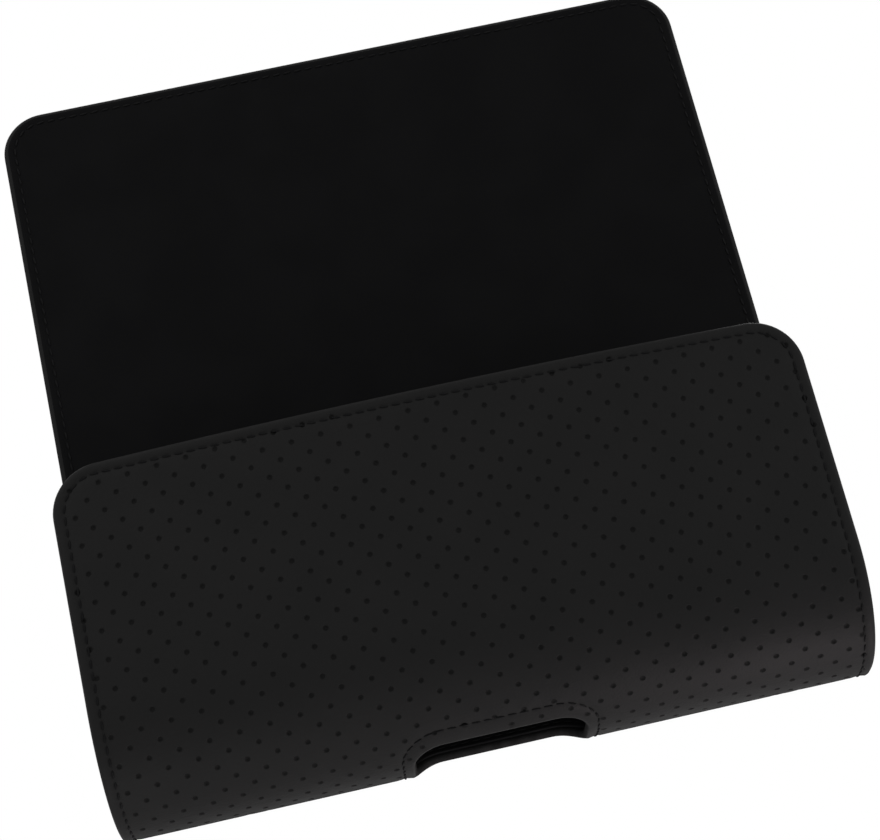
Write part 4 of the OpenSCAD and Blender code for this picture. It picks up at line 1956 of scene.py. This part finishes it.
@dataclass
class SideElastic:
    """One side's ribbed elastic, bent round from the front's lining to the back's."""

    sizes: CaseSizes
    finishes: Finishes
    side: int
    low: float = 26.0
    length: float = 26.0
    thick: float = 1.2
    edge_set: float = 5.0
    tab: float = 8.0
    rib: float = 1.3
    rib_h: float = 0.22
    rib_points: int = 6
    row: float = 0.9
    first_row: float = 0.8
    bend: float = 0.9
    corner_r: float = 0.4
    step: float = 0.65
    end_gap: float = 0.05
    margin: float = 0.5
    skin: float = 0.2

    def front_y(self, x: float) -> float:
        """Returns the depth of the front's lining at a place across the case."""
        z = self.sizes
        return z.crown_axis - math.sqrt((z.crown_radius - z.panel) ** 2 - x * x)

    def build(self) -> list[bpy.types.Object]:
        """Builds the elastic.

        Returns:
            Its pieces.
        """
        z, r, t, name = self.sizes, self.bend, self.thick, SIDE_NAMES[self.side]
        outer = z.width / 2 - self.edge_set
        start = self.front_y(outer - self.tab)
        lean = math.degrees(math.atan2(self.front_y(outer) - start, self.tab))
        profile = Profile((outer - self.tab, start), lean)
        profile.line(self.tab - r).arc(r, 90.0 - lean)
        profile.line(-z.panel - r - profile.points[-1][1]).arc(r, 90.0).line(self.tab - r)
        height = self.low + self.length / 2 - z.belt_z
        guide = profile.curve("elastic_path", lambda u, v: (self.side * u, v, height))
        run = loop_run(self.length / 2, self.end_gap, profile.length() - self.end_gap,
                       self.corner_r, self.corner_r, self.step)
        pattern = FlatPattern(run, [], [(0.3, 0.0), (0.08, -0.12), (0.0, -0.35), (0.0, 0.35 - t),
                                        (0.08, 0.12 - t), (0.3, -t)])
        rows = np.arange(self.first_row, profile.length(), self.row)
        xs = np.arange(-self.length / 2, self.length / 2, self.rib / self.rib_points)
        kept = pattern.keep(np.array([[x, s] for s in rows for x in xs]), self.margin)
        pattern.outer_points.append(kept)
        pattern.inner_points.append(kept)
        obj = pattern.build(f"{name}_ribbed_elastic")
        # The ribs rise on both faces, and the band's edge between them stays plain
        values = np.zeros(len(obj.data.vertices), np.float32)
        heights = np.empty(3 * len(values), np.float32)
        obj.data.vertices.foreach_get("co", heights)
        values[heights[2::3] > -self.skin * t * MM] = 1.0
        values[heights[2::3] < (self.skin - 1.0) * t * MM] = -1.0
        obj.data.attributes["seam"].data.foreach_set("value", values)
        add_modifier(obj, Trees.ribs(), {
            "Rib Pitch": self.rib * MM, "Rib Height": self.rib_h * MM,
            "Material": self.finishes.elastic})
        Wrapper(guide, across=(0.0, 0.0, float(self.side))).wrap(obj, self.finishes.elastic)
        bpy.data.objects.remove(guide)
        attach(obj, Body.POUCH.value)
        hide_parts(f"elastic_{name}")
        return [obj]


@dataclass
class Strap:
    """A strip of cover leather with a seam near its edge, cut flat and bent along a profile.

    names are those of the piece, of its threads and of the CAD node that it stands for. margins
    keep the plain points off the edge of the outer and the inner face. The seam's thread lies at
    level, and stops short of the strip's end by open_end unless that is 0. tacks are more lines
    to sew, and middle is where the strip lies across the case.
    """

    names: tuple[str, str, str]
    profile: Profile
    outline: Run
    rim: Sequence[tuple[float, float]]
    rows: np.ndarray
    margins: tuple[float, float]
    seam: float
    groove: float
    level: float
    open_end: float = 0.0
    inner: bool = False
    middle: float = 0.0
    tacks: Sequence[tuple[np.ndarray, bool, float]] = ()
    column: float = 2.4

    def build(self, finishes: Finishes) -> list[bpy.types.Object]:
        """Builds the strip.

        Args:
            finishes: the case's materials.

        Returns:
            The strip and its threads.
        """
        name, thread_name, node = self.names
        length = self.profile.length()
        guide = self.profile.curve(f"{name}_path", lambda u, v: (self.middle, u, v))
        plain = grid(self.outline.points[:, 0].max(), 0.0, length, self.column, self.rows)
        pattern = FlatPattern(self.outline, [], self.rim)
        pattern.fill(plain, self.margins[0])
        pattern.fill(plain, self.margins[1], inner=True)
        pattern.rails([self.outline.moved(self.seam)], self.inner)
        wrapper = Wrapper(guide)
        strip = wrapper.wrap(pattern.build(name), finishes.cover, 0.0, self.groove)
        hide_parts(node)
        line = resample(self.outline.offset(self.seam), True, THREAD_STEP)
        if self.open_end:
            line = line[line[:, 1] < length - self.open_end]
        lines = [(line, not self.open_end, self.level), *self.tacks]
        threads = wrapper.sew(thread_name, lines, finishes.thread)
        bpy.data.objects.remove(guide)
        for obj in (strip, threads):
            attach(obj, Body.POUCH.value)
        return [strip, threads]


@dataclass
class ClipLeather:
    """The sewn leather of the spring belt clip: an outer cover and an inner strip.

    Of the pairs, rows is the first plain row and their spacing, and open_ends is how far short of
    the top the cover's and the strip's threads stop.
    """

    finishes: Finishes
    width: float = 42.0
    leg_y: float = 8.0
    steel: float = 1.2
    cover: float = 1.0
    inner: float = 0.8
    bend_y: float = 4.6
    bend_turn: float = 143.0
    up: float = 22.0
    down: float = 22.0
    hook: float = 10.0
    hook_angle: float = 42.0
    past: float = 3.0
    margin: float = 3.0
    corner_r: float = 7.0
    strip_corner: float = 0.8
    seam: float = 2.0
    cover_groove: float = 0.25
    strip_groove: float = 0.2
    strip_gap: float = 0.02
    strip_ease: float = 0.12
    rows: tuple[float, float] = (0.7, 1.5)
    open_ends: tuple[float, float] = (5.0, 1.0)
    cover_clear: float = 1.9
    inside_clear: float = 0.6
    strip_clear: float = 1.0
    round_more: float = 0.4
    turn_less: float = 0.05

    def path(self, radius: float, turn: float) -> Profile:
        """Follows the hook and the leg at one distance from the hook's axis.

        Args:
            radius: the distance.
            turn: the angle that the hook turns through, in degrees.

        Returns:
            The profile, from the hook's free end up.
        """
        a = math.radians(-turn)
        start = (self.leg_y - self.hook + radius * math.cos(a), -self.down + radius * math.sin(a))
        return Profile(start, 90.0 - turn).arc(radius, turn).line(self.up + self.down)

    def build(self) -> list[bpy.types.Object]:
        """Builds the clip's leather.

        Returns:
            Its pieces.
        """
        turn = self.hook_angle + math.degrees(math.asin(self.past / self.hook))
        total, t, raised = self.steel + self.cover, self.inner, STITCH.sunk * STITCH.thick
        outer, inner = self.path(self.hook + total, turn), self.path(self.hook, turn)
        outer.arc(self.leg_y + total - self.bend_y, self.bend_turn)
        rows = np.arange(self.rows[0], outer.length(), self.rows[1])
        cover = Strap(
            ("clip_cover", "clip_threads", "clip_cover_outer"), outer,
            loop_run(self.width / 2, 0.0, outer.length(), self.corner_r,
                     self.margin + self.round_more, STRAP_STEP),
            turned_rim(total / 2, total, self.margin - self.turn_less, self.cover), rows,
            (self.cover_clear, self.margin + self.inside_clear), self.seam, self.cover_groove,
            raised - self.cover_groove, open_end=self.open_ends[0])
        strip = Strap(
            ("clip_inner_leather", "clip_inner_threads", "clip_cover_inner"), inner,
            loop_run(self.width / 2, 0.0, inner.length(), self.corner_r, self.strip_corner,
                     STRAP_STEP),
            cut_rim(0.0, -self.strip_gap, 0.0, t, self.strip_ease), rows,
            (self.strip_clear, self.strip_clear), self.seam, self.strip_groove,
            self.strip_groove - t - raised, open_end=self.open_ends[1], inner=True)
        return cover.build(self.finishes) + strip.build(self.finishes)


@dataclass
class BeltLoop:
    """A leather strap sewn down at both ends, which the belt passes under."""

    sizes: CaseSizes
    finishes: Finishes
    side: int
    inset: float = 30.0
    width: float = 20.0
    thick: float = 2.0
    inner_h: float = 46.0
    gap: float = 6.0
    bend: float = 5.0
    tab: float = 7.0
    fillet: float = 1.2
    corner_r: float = 2.0
    seam: float = 2.4
    groove: float = 0.22
    tack_set: float = 1.0
    tack_end: float = 1.5
    tack_level: float = 0.05
    tack_points: int = 40
    first_row: float = 0.6
    row: float = 1.1
    clear: float = 1.4

    def path(self) -> Profile:
        """Lays out foot, fillet, bend, leg, bend, fillet and foot.

        Returns:
            The profile.
        """
        outer_r = self.bend + self.thick
        outer_h = self.inner_h / 2 + self.thick
        top = self.gap + self.thick
        rise = self.thick + self.fillet - (top - outer_r)
        reach = math.sqrt((outer_r + self.fillet) ** 2 - rise**2)
        turn = 90.0 - math.degrees(math.atan2(rise, reach))
        foot = outer_h + self.tab - (outer_h - outer_r + reach)
        profile = Profile((self.thick, -outer_h - self.tab), 90.0)
        profile.line(foot).arc(self.fillet, -turn).arc(outer_r, turn)
        profile.line(2 * (outer_h - outer_r)).arc(outer_r, turn).arc(self.fillet, -turn)
        return profile.line(foot)

    def build(self) -> list[bpy.types.Object]:
        """Builds the loop.

        Returns:
            Its pieces.
        """
        name, t = SIDE_NAMES[self.side], self.thick
        profile = self.path()
        length = profile.length()
        reach = self.width / 2 - self.seam - self.tack_end
        across = np.linspace(-reach, reach, self.tack_points)
        tacks = [(np.c_[across, np.full(len(across), s)], False, self.tack_level)
                 for s in (self.tab - self.tack_set, length - self.tab + self.tack_set)]
        strap = Strap(
            (f"{name}_loop_strap", f"{name}_loop_threads", f"belt_loop_{name}"), profile,
            loop_run(self.width / 2, 0.0, length, self.corner_r, self.corner_r, STRAP_STEP),
            [(0.8, 0.0), (0.35, -0.1), (0.08, -0.38), (0.0, -t / 2), (0.08, 0.38 - t),
             (0.35, 0.1 - t), (0.8, -t)],
            np.arange(self.first_row, length, self.row), (self.clear, self.clear), self.seam,
            self.groove, STITCH.sunk * STITCH.thick - self.groove,
            middle=self.side * (self.sizes.width / 2 - self.inset), tacks=tacks)
        return strap.build(self.finishes)


@dataclass
class HardParts:
    """The solids that keep their own shape and get a finish."""

    finishes: Finishes

    def build(self) -> list[bpy.types.Object]:
        """Dresses the solids.

        Returns:
            Their objects.
        """
        f = self.finishes
        dress = {
            "belt_clip": f.steel, "clip_plate": f.steel, "clip_rivets": f.rivet,
            "keeper_left": f.steel, "keeper_right": f.steel,
            "magnet_left": f.magnet, "magnet_right": f.magnet,
            "front_stiffener": f.board, "back_stiffener": f.board,
            "strip_stiffener": f.board, "flap_stiffener": f.board,
        }
        done = []
        for name, material in dress.items():
            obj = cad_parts[name]
            if not obj.material_slots:
                obj.data.materials.append(material)
            for slot in obj.material_slots:
                slot.material = material
            done.append(obj)
        return done


# Studio


@dataclass(frozen=True)
class Lamp:
    """A soft square lamp that points at the case."""

    name: str
    place: tuple[float, float, float]
    size: float
    watts: float
    aim: tuple[float, float, float] = (0.0, 0.0, 0.04)
    color: tuple[float, float, float] = (1.0, 1.0, 1.0)


@dataclass
class Studio:
    """Camera, soft light, plain floor and white surroundings."""

    place: tuple[float, float, float] = (-31.905, -483.453, -128.553)
    turn: tuple[float, float, float] = (109.4178, 12.8179, 0.1297)
    lens: float = 88.4638
    sensor: float = 36.0
    near: float = 0.01
    floor_z: float = -0.30
    floor_half: float = 20.0
    floor_parts: int = 8
    floor_rough: float = 0.9
    floor_cloud: float = 6.0
    floor_tones: tuple[float, float] = (0.82, 0.86)
    glow: tuple[float, float] = (0.35, 0.9)
    glow_near: float = 0.35
    ambient: float = 0.45
    lamps: tuple[Lamp, ...] = (
        Lamp("soft_key", (-0.55, -0.75, 0.75), 0.7, 7.0),
        Lamp("soft_fill", (0.8, -0.58, 0.08), 0.8, 4.6),
        Lamp("soft_low_right", (0.14, 0.0, -0.29), 0.12, 0.92, (0.06, -0.03, -0.04),
             (1.0, 0.88, 0.91)),
        Lamp("soft_low_left", (-0.17, -0.07, -0.28), 0.14, 0.42, (-0.06, -0.03, -0.04)),
        Lamp("soft_back", (0.3, 0.8, 0.7), 0.8, 8.0),
    )

    def camera(self) -> None:
        """Adds the camera at the photograph's viewing angle."""
        data = bpy.data.cameras.new("camera")
        data.lens = self.lens
        data.sensor_width = self.sensor
        data.clip_start = self.near
        camera = linked("camera", data)
        camera.location = Vector(self.place) * MM
        camera.rotation_euler = Euler([math.radians(a) for a in self.turn], "XYZ")
        bpy.context.scene.camera = camera

    def lights(self) -> None:
        """Adds the soft lamps."""
        for lamp in self.lamps:
            data = bpy.data.lights.new(lamp.name, "AREA")
            data.size = lamp.size
            data.energy = lamp.watts
            data.color = lamp.color
            obj = linked(lamp.name, data)
            obj.visible_camera = False
            obj.location = lamp.place
            aim = Vector(lamp.aim) - Vector(lamp.place)
            obj.rotation_euler = aim.to_track_quat("-Z", "Y").to_euler()

    def world(self) -> None:
        """Makes the surroundings white to the camera and in reflections, and softer as light."""
        world = bpy.data.worlds.new("studio")
        bpy.context.scene.world = world
        world.use_nodes = True
        b = Bench(world.node_tree)
        sky = world.node_tree.nodes["Background"]
        path = b.add("ShaderNodeLightPath")
        seen = b.math("MAXIMUM", path.outputs["Is Camera Ray"],
                      b.math("MAXIMUM", path.outputs["Is Glossy Ray"],
                             path.outputs["Is Transmission Ray"]))
        sky.inputs["Color"].default_value = (1.0, 1.0, 1.0, 1.0)
        b.feed(sky.inputs["Strength"],
               b.math("MULTIPLY_ADD", seen, 1.0 - self.ambient, self.ambient))

    def floor(self) -> None:
        """Adds the plain pale floor, which turns white to the camera away from the case."""
        bm = bmesh.new()
        bmesh.ops.create_grid(bm, x_segments=self.floor_parts, y_segments=self.floor_parts,
                              size=self.floor_half)
        mesh = bpy.data.meshes.new("floor")
        bm.to_mesh(mesh)
        bm.free()
        mesh.transform(Matrix.Translation((0.0, 0.0, self.floor_z)))
        material = bpy.data.materials.new("pale_floor")
        material.use_nodes = True
        b = Bench(material.node_tree)
        shader = material.node_tree.nodes["Principled BSDF"]
        shader.inputs["Roughness"].default_value = self.floor_rough
        place = b.add("ShaderNodeTexCoord").outputs["Object"]
        dark, pale = ((tone,) * 3 for tone in self.floor_tones)
        b.feed(shader.inputs["Base Color"],
               b.mix(b.noise(place, self.floor_cloud, 2.0), dark, pale))
        away = b.ramp(b.vector("LENGTH", place), *self.glow, (self.glow_near, 1.0))
        seen = b.math("MULTIPLY", b.add("ShaderNodeLightPath").outputs["Is Camera Ray"], away)
        b.feed(shader.inputs["Emission Color"],
               b.mix(seen, (0.0, 0.0, 0.0), (1.0, 1.0, 1.0)))
        shader.inputs["Emission Strength"].default_value = 1.0
        mesh.materials.append(material)
        linked("floor", mesh)

    def build(self) -> None:
        """Builds the studio."""
        bpy.context.scene.view_settings.view_transform = "Standard"
        self.camera()
        self.lights()
        self.world()
        self.floor()


def main() -> None:
    """Builds the case's pieces in order and reports each one."""
    logging.basicConfig(level=logging.INFO, format="%(name)s: %(message)s", force=True)
    Studio().build()
    finishes = Finishes()
    groups = [
        ("shell", CaseShell(SIZES, finishes)),
        ("left elastic", SideElastic(SIZES, finishes, -1)),
        ("right elastic", SideElastic(SIZES, finishes, 1)),
        ("clip leather", ClipLeather(finishes)),
        ("left loop", BeltLoop(SIZES, finishes, -1)),
        ("right loop", BeltLoop(SIZES, finishes, 1)),
        ("hard parts", HardParts(finishes)),
    ]
    for title, group in groups:
        for obj in group.build():
            LOG.info("%s: %s, %d faces", title, obj.name, len(obj.data.polygons))


if __name__ == "__main__":
    main()
